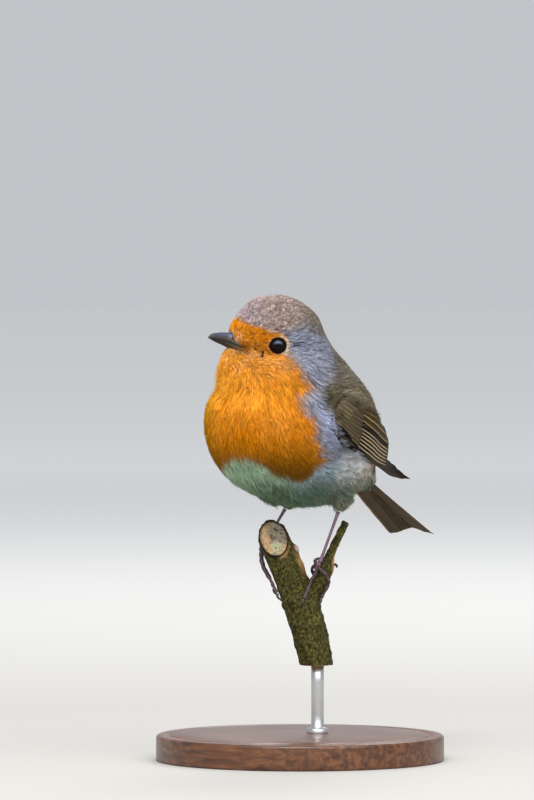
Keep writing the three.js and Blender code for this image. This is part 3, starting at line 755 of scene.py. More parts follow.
def down(tree):
    """Bare skin and down under the coat: dull, with a fine grain of quill sockets 0.7 mm apart."""
    pores = add(tree, "TexVoronoi", {"Vector": millimetres(tree), "Scale": 1.4})
    return {"Base Color": add(tree, "VertexColor", layer_name="tint"),
            "Normal": raised(tree, pores.outputs["Distance"], 0.15, 0.5)}


def webbing(tree):
    """A flight feather's vane: barbs run out and forward from the shaft, about seven to the millimetre."""
    across = add(tree, "SeparateXYZ", {"Vector": add(tree, "UVMap", uv_map="vane")})
    lean = add(tree, "Math", {0: across.outputs["X"]}, operation="ABSOLUTE")
    lean = add(tree, "Math", {0: across.outputs["Y"], 1: lean}, operation="SUBTRACT")
    lines = add(tree, "CombineXYZ", {"X": lean, "Y": across.outputs["X"]})
    lines = add(tree, "Mapping", {"Vector": lines, "Scale": (7, 0.35, 1)})
    ridge = add(tree, "TexNoise", {"Vector": lines, "Scale": 1.0, "Detail": 1.0})
    shade = patchy(tree, lines, 1.0, 0.78, 1.2, 1.0)
    return {"Base Color": tinted(tree, shade), "Normal": raised(tree, ridge.outputs["Fac"], 0.05, 0.6)}


def horn(tree):
    """The bill's and claws' horn: smooth, with faint growth lines 0.3 mm apart."""
    lines = patchy(tree, millimetres(tree, 1, 1, 4), 0.9, 0.86, 1.12)
    return {"Base Color": tinted(tree, lines), "Normal": raised(tree, lines, 0.04, 0.3)}


def scutes(tree):
    """The legs' plates: satin, with a fine leathery grain."""
    grain_lines = patchy(tree, millimetres(tree), 2.6, 0.84, 1.14)
    return {"Base Color": tinted(tree, grain_lines), "Normal": raised(tree, grain_lines, 0.05, 0.5)}


def cornea(tree):
    """A wet dark eye, black to look at, whose iris shows deep brown only in strong light."""
    return {"Base Color": tinted(tree, patchy(tree, millimetres(tree), 1.2, 0.85, 1.15))}


def bark(tree):
    """Smooth young bark: rough patches under a millimetre wide, and fine cracks along the branch."""
    fine = patchy(tree, millimetres(tree, 1, 1, 0.45), 1.7, 0.62, 1.42, 5.0)
    cracks = add(tree, "TexVoronoi", {"Vector": millimetres(tree, 1, 1, 0.35), "Scale": 1.1})
    return {"Base Color": tinted(tree, fine), "Normal": raised(tree, cracks.outputs["Distance"], 0.22, 0.7)}


def walnut(tree):
    """Dark stained wood, with grain lines that run along the board a millimetre or two apart."""
    board = millimetres(tree, 0.04, 0.6, 0.6)
    lines = add(tree, "TexNoise", {"Vector": board, "Scale": 1.0, "Detail": 6.0, "Distortion": 0.6})
    streaks = millimetres(tree, 0.12, 2.4, 2.4)
    pores = add(tree, "TexNoise", {"Vector": streaks, "Scale": 1.0, "Detail": 2.0})
    stain = ramp(tree, lines.outputs["Fac"], (0.3, "#3a2113"), (0.5, "#59351f"), (0.68, "#74492c"))
    return {"Base Color": stain, "Normal": raised(tree, pores.outputs["Fac"], 0.08, 0.35)}


def steel(tree):
    """Brushed steel: even grey, with fine lines along the rod that stretch its highlights."""
    brush = patchy(tree, millimetres(tree, 9, 9, 0.15), 1.0, 0.24, 0.42, 2.0)
    return {"Roughness": brush}


feather_barbs = finish("feather_barbs_keratin", barbs, Roughness=0.8, Specular_IOR_Level=0.08)
feather_down = finish("skin_and_down", down, Roughness=0.9, Specular_IOR_Level=0.1)
feather_vane = finish("feather_vane_keratin", webbing, Roughness=0.7, Specular_IOR_Level=0.1)
bill_horn = finish("bill_horn_polished", horn, Roughness=0.3, Specular_IOR_Level=0.35)
claw_horn = finish("claw_horn", horn, Roughness=0.35, Specular_IOR_Level=0.5)
leg_scales = finish("leg_scutes_leathery", scutes, Roughness=0.42, Specular_IOR_Level=0.35)
eye_gloss = finish("eye_cornea_wet", cornea, Roughness=0.04, Specular_IOR_Level=0.1)
branch_bark = finish("hazel_bark_lichened", bark, Roughness=0.82, Specular_IOR_Level=0.2)
base_walnut = finish("walnut_stained_satin", walnut, Roughness=0.38, Specular_IOR_Level=0.45,
                     Coat_Weight=0.15)
rod_steel = finish("steel_brushed", steel, Metallic=1.0, Base_Color=(0.58, 0.58, 0.59, 1))

# ---------------------------------------------------------------- skin

VOXEL = 0.5
CLEARANCE = 0.3                # the frame's nodes stand this far apart
FLESH = ("trunk", "neck", "head", "thigh_left", "thigh_right")
BILL_STARTS, BILL_PLUG = 9.5, 17.6     # ahead in the head's frame: the bill's root, and its plug's end
WING_FEEL = 6                  # skin with a wing this close over it is sunk by a thin coat's depth only


def thigh_top(node):
    """A wider copy of a thigh, higher up, that leads it into the belly."""
    points, faces = node_solid(node)
    heart = middle(node)
    return (points - heart) * [1.6, 1.9, 0.85] + heart + [0, 0, 1.3], faces


def plug(node):
    """Half of the bill, cut short, which fills its socket in the head."""
    points, faces = node_solid(node, 0.1)
    local = to_head(points)
    local[:, 1] = np.maximum(local[:, 1], -BILL_PLUG)
    return from_head(local), faces


def ball(heart, radii):
    """A round swelling, placed in the head's frame."""
    angle = np.linspace(0, np.pi, 17)[1:-1, None]
    turn = full_turn(24)
    shape = np.stack([np.sin(angle) * np.cos(turn), np.cos(angle) + 0 * turn, np.sin(angle) * np.sin(turn)],
                     axis=-1)
    return loft(from_head(shape * radii + heart))[:2]


# The outline: the flesh's nodes with their gaps closed, the thighs led into the belly, the bill's socket
# filled and the eyes set in, all wrapped in one surface.
hull_points, hull_faces = remeshed(*gathered(
    [node_solid(node, CLEARANCE) for node in FLESH]
    + [thigh_top(node) for node in ("thigh_left", "thigh_right")]
    + [plug(node) for node in ("bill_upper", "bill_lower")] + [ball([0, -13.8, -10.9], [3.1, 3.6, 2.3])]
    + [node_solid(node, -0.35) for node in ("eye_left", "eye_right")]), VOXEL)
hull_points = relaxed(hull_points, hull_faces, 14)

# The bill in the head's frame: (ahead, height) of its ridge, its cutting edge and its underside, (ahead,
# half its width), and (height, ahead) of the line where the face's feathers end on it.
bill_top = profile((9, -1.9), (13, -2.45), (15.4, -2.9), (17.3, -3.2), (19.6, -3.75), (21.1, -4.25),
                   (22.4, -4.85), (23.2, -5.4), (23.65, -6.05), (23.85, -6.5))
bill_cut = profile((7, -8.6), (10, -8), (12.3, -7.3), (14.4, -6.85), (16.4, -6.55), (18.6, -6.4),
                   (21.5, -6.5), (23, -6.6), (23.85, -6.7))
bill_base = profile((7, -10.2), (10, -9.4), (12.5, -8.8), (15, -8.35), (17.2, -7.95), (18.7, -7.7),
                    (20.1, -7.5), (21.5, -7.25), (22.5, -7), (23.3, -6.75))
bill_half = profile((7, 4.4), (9, 4), (11, 3.45), (13, 2.9), (16, 2.05), (18.6, 1.5), (21, 1.05),
                    (22.5, 0.72), (23.4, 0.4), (23.85, 0.12))
bare_from = profile((-9.8, 17.4), (-9.3, 16.4), (-8.9, 13.2), (-8.5, 11.8), (-7.3, 12), (-6.5, 12.6),
                    (-5.7, 13.8), (-4.6, 15), (-3.6, 16.2), (-3.1, 16.9), (-2.6, 18))


def from_bill(h):
    """How far places are from the bill's middle line, in shares of its size, and that line's height."""
    ahead = -h[:, 1]
    top, base = bill_top(ahead), bill_base(ahead)
    off = np.hypot(h[:, 0] / bill_half(ahead), (h[:, 2] - (top + base) / 2) / (top - base) * 2)
    far = 9
    return np.where(ahead > BILL_STARTS, off, far), (top + base) / 2


def seated(p):
    """Lays the border of the face on the bill's horn, hides the skin ahead of it inside the bill, and drops
    the chin's skin beside the lower bill clear of the horn."""
    h = to_head(p)
    ahead = -h[:, 1]
    top, base, half = bill_top(ahead), bill_base(ahead), bill_half(ahead)
    off, height = from_bill(h)
    bare = ease(ahead - bare_from(h[:, 2]), -0.35, 0.35)
    want = np.maximum(off, 1.06) * (1 - bare) + np.minimum(off, 0.7) * bare
    beside = ease(h[:, 2] - base, -0.5, 0.3) * (1 - ease(h[:, 2] - top, -0.3, 0.5))
    near = 1 - ease(off - 1.4 * beside, 1.25, 1.45)
    scale = (off + (want - off) * near) / np.maximum(off, 0.05)
    h[:, 0] *= scale
    h[:, 2] = height + (h[:, 2] - height) * scale
    inside = half * 0.5
    h[:, 0] += (np.clip(h[:, 0], -inside, inside) - h[:, 0]) * near * bare
    h[:, 2] += (np.minimum(h[:, 2], base + 0.5) - h[:, 2]) * near * bare
    chin = ease(ahead, 11.4, 12.8) * (1 - ease(h[:, 2] - base, 0.4, 1.4)) * ease(off, 0.9, 1.05)
    chin = chin * ease(np.abs(h[:, 0]) / half, 0.6, 0.95) * (1 - near * bare)
    h[:, 2] += (np.minimum(h[:, 2], base - 1.3) - h[:, 2]) * chin
    return from_head(h)


def fluffed(p, ups):
    """Small changes to the outline: a fuller chin over a crease, a flatter crown, a lifted belly, a rump
    tucked in beside the tail, and eyelids seated level with the skin."""
    h = to_head(p)
    chin = hill((h[:, 1], -13, 5), (h[:, 2], -15.5, 3.6), (h[:, 0], 0, 9))
    p = p + (HEAD @ [0, -0.97, -0.25]) * (2.0 * chin)[:, None]
    crease = np.exp(-((p[:, 2] - 117.3) / 3) ** 2 - ((bearing(p) - BIB_MIDDLE) / 60) ** 4)
    p = p - ups * crease[:, None]
    p = p - ups * (0.5 * ease(h[:, 2], 8, 12))[:, None]
    p = p + [0, 0.7, 1.1] * np.exp(-(((p - [-5, -14, 82]) / 6.5) ** 2).sum(1, keepdims=True))
    for sign in SIDES.values():
        tucked = np.exp(-(((p - [11 * sign, 25.5, 89.5]) / [8, 8, 6]) ** 2).sum(1, keepdims=True))
        p = p + np.array([-2.2 * sign, -1.8, 0]) * tucked
    for side in SIDES:
        e = eye_place(p, side)
        reach = np.hypot(e[:, 1] / LID_LONG, e[:, 2] / LID_TALL)
        level = 1.5 + 0.65 * ease(reach, 0.85, 1.1) + 0.4 * ease(reach, 1.1, 1.6)
        seat = (1 - ease(reach, 1.3, 2.2)) * (e[:, 0] > 0) * (reach > 0.3)
        p = p + eye_ways[side][0] * (seat * (level - e[:, 0]))[:, None]
    return p


hull_points = fluffed(hull_points, vertex_normals(hull_points, hull_faces))
hull_points = relaxed(hull_points, hull_faces, 2)
hull_ups = vertex_normals(hull_points, hull_faces)


def wing_core(side):
    """What a wing's feathers lie on: the node's shape, made thinner and shorter than the feathers."""
    points, faces = remeshed(*node_solid(f"wing_{side}"), VOXEL)
    points = relaxed(points, faces, 8)
    ups = vertex_normals(points, faces)
    thickness = gap_ahead(ground_of(points, faces), points - ups * 0.05, -ups, 6)
    points = points - ups * relaxed(np.minimum(1.1, 0.45 * thickness), faces, 4, back=0)
    far = np.clip(wing_place(points)[0] - 42, 0, None)
    points[:, 1:] -= WING_ALONG * (0.86 * far)[:, None]
    return points, faces


wing_cores = {side: wing_core(side) for side in SIDES}
wing_ground = ground_of(*gathered(wing_cores.values()))


def make_skin():
    """The whole bird's skin: the outline's shape, sunk by the depth of the coat that grows on it."""
    depth = Tract(hull_points).depth
    covered = gap_ahead(wing_ground, hull_points - hull_ups, hull_ups, WING_FEEL) < WING_FEEL
    depth = relaxed(np.where(covered, 0.4, depth), hull_faces, 6, back=0)
    points = seated(relaxed(hull_points - hull_ups * depth, hull_faces, 2))
    # The skin's tint: the plumage mixed with grey down, and darkened as painted shade under the coat.
    add_piece("skin", points, hull_faces, feather_down, FLESH,
              tints=mix(plumage(hull_points), DOWN, 0.4) * 0.75)
    return points, hull_faces


skin = make_skin()
ground = ground_of(*gathered([skin, *wing_cores.values()]))

# ---------------------------------------------------------------- coat of barbed tufts

WALK = 3                       # steps from a tuft's root to its tip
BAKE_PATCH = 0.003             # size of one tuft on the unwrapped skin
LONG_BARB, SHORT_BARB = (0, 0.4, 0.76, 1), (0, 0.55, 1)      # where a barb bends
BODY_BARBS, HEAD_BARBS = 7, 5  # barbs in a tuft
CROWDING, LEAST_GAP = 5, 0.78  # roots tried for each square gap, and how near two may be, in gaps
COAT_LIMIT = 200000            # triangles that one piece of the coat stays below
UNDER_WING = 9                 # no tuft grows where a wing lies this close over its root
BODY_HEART = np.array([0, 2, 103])


def scattered(points, faces, gaps):
    """Even but unruly places on a surface, about gaps apart, and the surface's normals there."""
    corners = points[faces]
    across = np.cross(corners[:, 1] - corners[:, 0], corners[:, 2] - corners[:, 0])
    area = np.linalg.norm(across, axis=1) / 2
    face = np.repeat(np.arange(len(faces)), rng.poisson(area / gaps ** 2 * CROWDING))
    face = face[rng.permutation(len(face))]
    share = rng.random((len(face), 2))
    share = np.where(share.sum(1, keepdims=True) > 1, 1 - share, share)
    a, b, c = corners[face].transpose(1, 0, 2)
    spots = a + (b - a) * share[:, :1] + (c - a) * share[:, 1:]
    tree = KDTree(len(spots))
    for i, spot in enumerate(spots.tolist()):
        tree.insert(spot, i)
    tree.balance()
    taken = np.zeros(len(spots), bool)
    kept = []
    for i, (spot, near) in enumerate(zip(spots.tolist(), (gaps[face] * LEAST_GAP).tolist())):
        if taken[i]:
            continue
        kept.append(i)
        for _, other, _ in tree.find_range(spot, near):
            taken[other] = True
    kept = np.array(kept)
    return spots[kept], unit(vertex_normals(points, faces)[faces[face[kept]]].mean(axis=1))


def unwrapped(p, heart):
    """A place on the skin, folded flat from an eight-sided shape round its heart into a square."""
    d = p - heart
    d = d / np.abs(d).sum(-1, keepdims=True)
    sign = np.where(d[:, :2] >= 0, 1, -1)
    flat = np.where(d[:, 2:] >= 0, d[:, :2], (1 - np.abs(d[:, 1::-1])) * sign)
    return 0.5 + 0.49 * flat


def walked(roots, ups, tract, swerve):
    """The middle lines of tufts, as they lie over the body: places and normals at each step."""
    places, normals = [], []
    here, up = roots, ups
    for step in range(WALK + 1):
        rise = tract.depth * (step / WALK) ** 0.75 - 0.3 * (step == 0)
        places.append(here + up * rise[:, None])
        normals.append(up)
        if step < WALK:
            here, up = nearest_on(ground, here + lie(here, up, swerve) * (tract.length / WALK)[:, None])
    return np.stack(places, 1), np.stack(normals, 1)


def barb_faces(rings):
    """One barb's triangles: its root, three sides along its rings, and its point."""
    faces = [[0, 2, 1]]
    top = 3 * rings - 3
    for j in range(0, top, 3):
        for a, b in ((0, 1), (1, 2), (2, 0)):
            faces += [[j + a, j + b, j + 3 + a], [j + b, j + 3 + b, j + 3 + a]]
    return faces + [[top, top + 1, top + 3], [top + 1, top + 2, top + 3], [top + 2, top, top + 3]]


def barb_cells(roots, heart, fingers, bends):
    """Each barb point's place in the bake's square: a small patch for each tuft, a strip for each barb."""
    corners = [[side / 2, bend * 0.9 - 0.07 * (side == 1)] for bend in bends[:-1] for side in range(3)]
    corners = np.array(corners + [[0.5, 1]]) * [0.9 / fingers, 1]
    patch = corners + np.stack([np.arange(fingers) / fingers, np.zeros(fingers)], axis=1)[:, None] - 0.5
    return unwrapped(roots, heart)[:, None, None] + BAKE_PATCH * patch


def along_barbs(colours, calm, lively, bends):
    """A tuft's colour at each bend, from its dull root to its bright tips; calm tufts vary less."""
    dull = mix(colours, DOWN * (0.5 + colours.mean(1, keepdims=True)), 0.5)
    calm = 0.75 * calm * (1 - 0.45 * lively)
    steps = []
    for bend in bends:
        # The gain darkens each root, partly for its grey down and partly as painted shade deep in the coat,
        # and lightens the tips.
        gain = calm + (1 - calm) * np.interp(bend, (0, 0.4, 1), (0.5, 0.86, 1.16))
        dullness = np.interp(bend, (0, 0.4, 0.7), (0.8, 0.3, 0)) * (1 - calm)
        steps.append(mix(colours * gain[:, None], dull * 0.6, dullness))
    return np.stack(steps, axis=1)


def tufts(roots, ups, tract, fingers, bends, heart):
    """Barbed tufts, each a fan of thin three-sided barbs that taper to a point, as a piece's arrays."""
    count, rings = len(roots), len(bends) - 1
    length, gap, depth, barb, ruffle, scaly = (
        values[:, None, None] for values in (tract.length, tract.gap, tract.depth, tract.barb, tract.ruffle,
                                             tract.scaly))

    def jitter(size, *shape):
        return rng.normal(0, size, (count, *shape))

    swerve = (grain(roots, 5.5, 51) - 0.5) * 0.5 + jitter(0.06)
    places, normals = walked(roots, ups, tract, swerve * tract.wildness)
    fan = np.linspace(-1, 1, fingers) + jitter(0.8 / fingers, fingers)
    reach = 1 - 0.22 * np.abs(fan) ** 1.5 - rng.random((count, fingers)) * 0.2
    x = reach[..., None] * np.array(bends)
    step = np.clip(x * WALK, 0, WALK - 1e-6)
    low = step.astype(int)
    share = (step - low)[..., None]
    row = np.arange(count)[:, None, None]
    here = places[row, low] * (1 - share) + places[row, low + 1] * share
    way = unit(places[row, low + 1] - places[row, low])
    up = unit(normals[row, low] * (1 - share) + normals[row, low + 1] * share)
    out = unit(np.cross(up, way))

    fan = fan[..., None]
    wisp = jitter(0.035, fingers, 1) * length * x ** 2
    sideways = fan * (gap * 0.75) * (0.45 + 0.75 * x) + wisp
    unruly = (jitter(1, fingers, 1) + jitter(0.8, 1, 1)) * ruffle
    lift = (unruly * x ** 1.5 - 0.12 * fan ** 2 * x) * depth
    centre = here + out * sideways[..., None] + up * lift[..., None]
    slimmer = np.interp(bends[:-1], (0, 0.4, 0.8), (0.85, 1.05, 0.7))
    width = barb * slimmer * (1 + jitter(0.2, fingers, 1))
    wide, high = out[..., :-1, :] * width[..., None], up[..., :-1, :] * width[..., None]
    body = centre[..., :-1, :]
    ring = np.stack([body + wide, body + high * 1.1, body - wide], axis=3)
    points = np.concatenate([ring.reshape(count, fingers, 3 * rings, 3), centre[..., -1:, :]], axis=2)

    colours = plumage(places[:, 2])
    lively = ease(roots[:, 2], 111, 117) * (1 - ease(bearing(roots), 60, 90))
    calm = ease(1 - colours.min(1) / colours.max(1), 0.35, 0.85)
    liveliness = (2.1 - 1.4 * calm + 1.1 * lively)[:, None, None, None]
    shade = 1 + liveliness * (jitter(0.07, 1, 1, 1) + jitter(0.08, fingers, 1, 1))
    edged = 1 + (scaly * (0.5 * np.abs(fan) - 0.28))[..., None]
    level = [bend for bend in range(rings) for _ in range(3)] + [rings]
    along = along_barbs(colours, calm, lively, bends)[:, None, level]
    tints = along * np.clip(shade * edged, 0.4, 1.8)

    bake = barb_cells(roots, heart, fingers, bends)
    barb_starts = np.arange(count * fingers)[:, None, None] * (3 * rings + 1)
    faces = (barb_starts + np.array(barb_faces(rings))).reshape(-1, 3)
    return points.reshape(-1, 3), faces, tints.reshape(-1, 3), bake.reshape(-1, 2)[faces]


# On a folded wing: (back, height) of its lower edge, and (height, back) of the line its front tufts reach.
wing_low = profile((7, -5.9), (24, -6), (40, -4.7), (52, -3.3), (66, -1.6))
wing_front = profile((-7, 8.5), (-5.6, 7.2), (-3.9, 4.4), (-1.2, 1.7), (2.2, 0.3), (5, -1.1), (9, -1.5))


def feathered():
    """Roots of all the tufts: on the skin, and on the front and upper edge of each wing."""
    points, faces = skin
    centres = points[faces].mean(axis=1)
    spots, ups = scattered(points, faces, Tract(centres).gap)
    bare = (lid_gap(spots) < 1.1) | (from_bill(to_head(spots))[0] < 0.98)
    bare |= gap_ahead(wing_ground, spots - ups * 0.5, ups, UNDER_WING) < UNDER_WING
    tips = spots + lie(spots, ups) * Tract(spots).length[:, None]
    back, high = wing_place(tips)
    over_wing = (back > 8) & (back < 50) & (high > wing_low(back) + 0.8) & (high < 5)
    bare |= over_wing & (np.abs(tips[:, 0]) > 11) & (spots[:, 2] < 104)
    rows = [(spots[~bare], ups[~bare])]
    for side, sign in SIDES.items():
        points, faces = wing_cores[side]
        centres = points[faces].mean(axis=1)
        spots, ups = scattered(points, faces, Tract(centres).gap)
        back, high = wing_place(spots)
        front = back < wing_front(high) + 1.2
        scapular = (high > 5.2 + 0.06 * back) & (back < 21)
        shoulder = (ups[:, 0] * sign > -0.3) & (front | scapular)
        rows.append((spots[shoulder], ups[shoulder]))
    return np.vstack([row[0] for row in rows]), np.vstack([row[1] for row in rows])


def tract_names(p):
    """The part of the coat that each root belongs to."""
    h = to_head(p)
    head = (p - NAPE_AT) @ NAPE_UP > -4
    sector = bearing(p)
    names = np.where(sector >= 0, "flank_left", "flank_right").astype("<U16")
    names[np.abs(sector) > 118] = "back"
    names[(np.abs(sector) < 48) & (sector >= BIB_MIDDLE)] = "breast_left"
    names[(np.abs(sector) < 48) & (sector < BIB_MIDDLE)] = "breast_right"
    low = ~head & (p[:, 2] < 92)
    names[low & (p[:, 1] <= 8) & (p[:, 0] >= 0)] = "belly_left"
    names[low & (p[:, 1] <= 8) & (p[:, 0] < 0)] = "belly_right"
    names[low & (p[:, 1] > 8)] = "vent"
    names[~head & (p[:, 2] >= 92) & (p[:, 1] > 16)] = "rump"
    names[head] = "throat"
    names[head & (h[:, 2] > -3)] = "crown"
    names[head & (h[:, 1] > 4)] = "nape"
    names[head & (np.linalg.norm(h - BILL_ROOT, axis=-1) < 9.5)] = "face"
    return names


def make_coat():
    """Covers the bird with tufts, in one piece for each part of the coat."""
    roots, ups = feathered()
    names = tract_names(roots)
    for name in sorted(set(names)):
        here = names == name
        if name in ("crown", "nape", "face", "throat"):
            looks = (HEAD_BARBS, SHORT_BARB, SKULL)
        else:
            looks = (BODY_BARBS, LONG_BARB, BODY_HEART)
        points, faces, tints, bake = tufts(roots[here], ups[here], Tract(roots[here]), *looks)
        assert len(faces) < COAT_LIMIT, (name, len(faces))
        add_piece(f"coat_{name}", points, faces, feather_barbs, tints=tints,
                  maps={"OFBake": bake})


make_coat()


# Dark marks on each side of the head as (back, up) places, a barb's half width, how many barbs and how
# loose: two lines behind the eye, the corner of the gape, a spot before the eye, and the lores' specks.
DARK_LINES = [([(-0.4, -2.6), (1.8, -1.85), (4, -1)], 0.08, 6, 0.06),
              ([(-0.3, -3.2), (0.9, -2.9), (2.3, -2.5)], 0.1, 5, 0.07),
              ([(-9, -7.3), (-9.2, -8.2), (-9.6, -9.4)], 0.17, 12, 0.16),
              ([(-7.4, -4.7), (-7.3, -5.2), (-7.1, -5.9)], 0.09, 4, 0.08),
              ([(-11, -6.3), (-10.3, -7.1), (-9.2, -8)], 0.06, 9, 0.5)]
BESIDE_HEAD, ACROSS_HEAD = 30.0, 40      # where the rays that feel for the face start, and their length


def bristles(sign):
    """A row of stiff hairs from the side of the bill back to the corner of the gape."""
    parts = []
    for i in range(14):
        ahead, up = 12.4 - 0.42 * i, -6.4 - 0.18 * i + rng.normal(0, 0.25)
        root = np.array([sign * bill_half(ahead) * 0.95 + sign * 0.14 * i, -ahead, up])
        out, down = 0.8 + rng.normal(0, 0.2), -0.55 + rng.normal(0, 0.2)
        way = unit(np.array([sign * out, -0.5 + 0.05 * i, down]))
        line = [root + way * run + [0, 0.07 * run ** 2, -0.05 * run ** 2] for run in (0, 0.8, 1.6, 2.5)]
        parts.append(sweep(from_head(line), [0.075, 0.065, 0.045, 0.015], 5))
    return parts


def dark_barbs(sign, line, thick, count, loose):
    """Barbs that lie on the face's coat one after another along a line."""
    parts = []
    line = curve_through(line, 40)
    for i in range(count):
        start = int(26 * i / max(count - 1, 1))
        spots = line[[start, start + 4, start + 9, start + 13]] + rng.normal(0, loose, 2)
        flat = np.column_stack([np.full(4, BESIDE_HEAD * sign), spots])
        inward = np.tile([-sign, 0, 0] @ HEAD.T, (4, 1))
        flat[:, 0] -= sign * (gap_ahead(ground, from_head(flat), inward, ACROSS_HEAD) - 0.02)
        places = from_head(flat)
        places += -inward * (Tract(places).depth * [0.9, 1.2, 1.3, 1.2] + 0.25)[:, None]
        parts.append(sweep(places, np.array([0.9, 1, 0.8, 0.2]) * thick, 5))
    return parts


def make_bristles():
    """Stiff dark hairs round the corners of the bill, and the dark barbs of the face's small marks."""
    parts = []
    for sign in SIDES.values():
        parts += bristles(sign)
        for mark in DARK_LINES:
            parts += dark_barbs(sign, *mark)
    points, faces = gathered(parts)
    tints = np.tile(tone("#140d0a"), (len(points), 1))
    add_piece("bristles", points, faces, feather_barbs, tints=tints)


make_bristles()

# ---------------------------------------------------------------- eyes and bill

glossy = bpy.data.collections.new("glossy")      # what the sky's glint falls on


PUPIL, IRIS = tone("#030303"), tone("#110a06")
LID_STEPS, LID_SIDES, LID_BEADS = 96, 10, 24


def make_eye(side):
    """A dark wet eye with a slight bulge over the iris."""
    angle = np.linspace(0, np.pi, 49)[1:-1, None]
    turn = full_turn(64)
    radius = EYE_RADIUS + 0.16 * (1 - ease(angle, 0.35, 0.85))
    shape = np.stack([np.cos(angle) + 0 * turn, np.sin(angle) * np.cos(turn), np.sin(angle) * np.sin(turn)],
                     axis=-1)
    points, faces, _ = loft(eye_at[side] + shape * radius[..., None] @ eye_ways[side])
    off = np.linalg.norm(eye_place(points, side)[:, 1:], axis=1)
    tints = mix(PUPIL, IRIS, band(off, 1.15, 1.3, 1.95, 2.15))
    piece = add_piece(f"eye_{side}", points, faces, eye_gloss, [f"eye_{side}"], tints=tints)
    glossy.objects.link(piece)


def make_lids(side):
    """The beaded ring of an eye's lids, laid on the eyeball."""
    at, around = full_turn(LID_STEPS), full_turn(LID_SIDES)
    flat = np.stack([0 * at, LID_LONG * np.cos(at), LID_TALL * np.sin(at)], axis=1)
    flat[:, 0] = np.sqrt(EYE_RADIUS ** 2 - (flat ** 2).sum(1)) + 0.08
    outward = unit(flat)
    aside = unit(np.cross(outward, np.roll(flat, -1, 0) - flat))
    bead = LID * (1 + 0.16 * np.cos(LID_BEADS * at))
    ring = flat[:, None] + bead[:, None, None] * (outward[:, None] * 0.8 * np.cos(around)[:, None]
                                                  + aside[:, None] * np.sin(around)[:, None])
    points = eye_at[side] + ring.reshape(-1, 3) @ eye_ways[side]
    i, j = np.meshgrid(np.arange(LID_STEPS), np.arange(LID_SIDES), indexing="ij")
    next_i, next_j = (i + 1) % LID_STEPS, (j + 1) % LID_SIDES
    a, b = i * LID_SIDES + j, i * LID_SIDES + next_j
    c, d = next_i * LID_SIDES + j, next_i * LID_SIDES + next_j
    faces = np.concatenate([np.stack([a, b, c], -1), np.stack([b, d, c], -1)]).reshape(-1, 3)
    faces = faces if side == "left" else faces[:, ::-1]
    tints = np.tile(tone("#0c0908"), (len(points), 1))
    add_piece(f"eyelid_{side}", points, faces, feather_down, tints=tints)


for side in SIDES:
    make_eye(side)
    make_lids(side)

# Where each half of the bill starts and ends, ahead in the head's frame.
BILL_ENDS = {"upper": (8.5, 23.85), "lower": (7.5, 23.3)}
# The ridge's blue is a painted sky reflection, the dark line under it painted shade, the pale blue over the
# nostril a painted highlight, and the nostril's black painted shade in its opening.
HORN, RIDGE_SKY_REFLECTION, HORN_TIP = tone("#221c1a"), tone("#333b53"), tone("#110d0c")
GAPE, GAPE_EDGE, NOSTRIL_HIGHLIGHT = tone("#6d4c42"), tone("#5d5339"), tone("#8b91ab")
RIDGE_SHADE_LINE, CUT_EDGE = tone("#171314"), tone("#0d0a09")
NOSTRIL_RIM, NOSTRIL = tone("#5a3434"), tone("#120a0c")


def bill_shape(name):
    """Rings of places along half of the bill, in the head's frame, and how deep each is in the nostril."""
    start, end = BILL_ENDS[name]
    around = full_turn(40)
    over = np.sin(around)
    ahead = (end - (end - start) * np.linspace(0, 1, 70) ** 1.5)[:, None]
    half, cut = bill_half(ahead), bill_cut(ahead)
    if name == "upper":
        rise = np.where(over > 0, (bill_top(ahead) - cut) * np.abs(over) ** 0.9, -0.12 * np.abs(over))
    else:
        half, cut = half * 0.9, cut + 0.05
        rise = np.where(over < 0, (bill_base(ahead) - cut) * np.abs(over) ** 0.8, 0.10 * np.abs(over))
    spread = np.sign(np.cos(around)) * np.abs(np.cos(around)) ** np.where(over > 0, 0.85, 0.8)
    local = np.stack([half * spread, np.broadcast_to(-ahead, rise.shape), cut + rise], axis=-1)
    along, above = (ahead - 15.5) / 1.1, (local[..., 2] + 5.0 - 0.1 * (ahead - 15.5)) / 0.45
    slit = np.exp(-(along ** 2) ** 1.5 - above ** 2) * (name == "upper")
    local[..., 0] *= 1 - 0.3 * slit
    return local, slit


def bill_tints(name, h, slit):
    """Dark horn: a painted bluish sky reflection along the ridge, brown at the gape, black at the tip and on
    the cutting edge.
    """
    ahead, on_upper = -h[:, 1], name == "upper"
    above = h[:, 2] - bill_cut(ahead)
    share = above / (bill_top(ahead) - bill_cut(ahead))
    tints = mix(HORN, RIDGE_SKY_REFLECTION, ease(share, 0.5, 0.72))
    tints = mix(tints, GAPE, 0.6 * (1 - ease(ahead, 12.5, 15.5)))
    # Painted shade: a dark line under the ridge's painted reflection.
    tints = mix(tints, RIDGE_SHADE_LINE, 0.85 * hill((share, 0.43, 0.1)))
    # Painted highlight: pale blue over the nostril.
    tints = mix(tints, NOSTRIL_HIGHLIGHT, 0.55 * hill((ahead, 16.8, 0.8), (h[:, 2], -4.6, 0.5)) * on_upper)
    tints = mix(tints, GAPE_EDGE, 0.75 * (1 - ease(ahead, 12, 19)) * (1 - ease(above, 0.2, 1.6)))
    tints = mix(tints, CUT_EDGE, 0.9 * hill((above, 0, 0.2)))
    tints = mix(tints, HORN_TIP, 0.85 * ease(ahead, 19.5, 23))
    # The nostril: a reddish rim, and painted shade in its opening.
    dark = np.append(slit.ravel(), [0, 0])
    tints = mix(tints, NOSTRIL_RIM, 0.8 * ease(dark, 0.05, 0.3))
    return mix(tints, NOSTRIL, ease(dark, 0.3, 0.7))


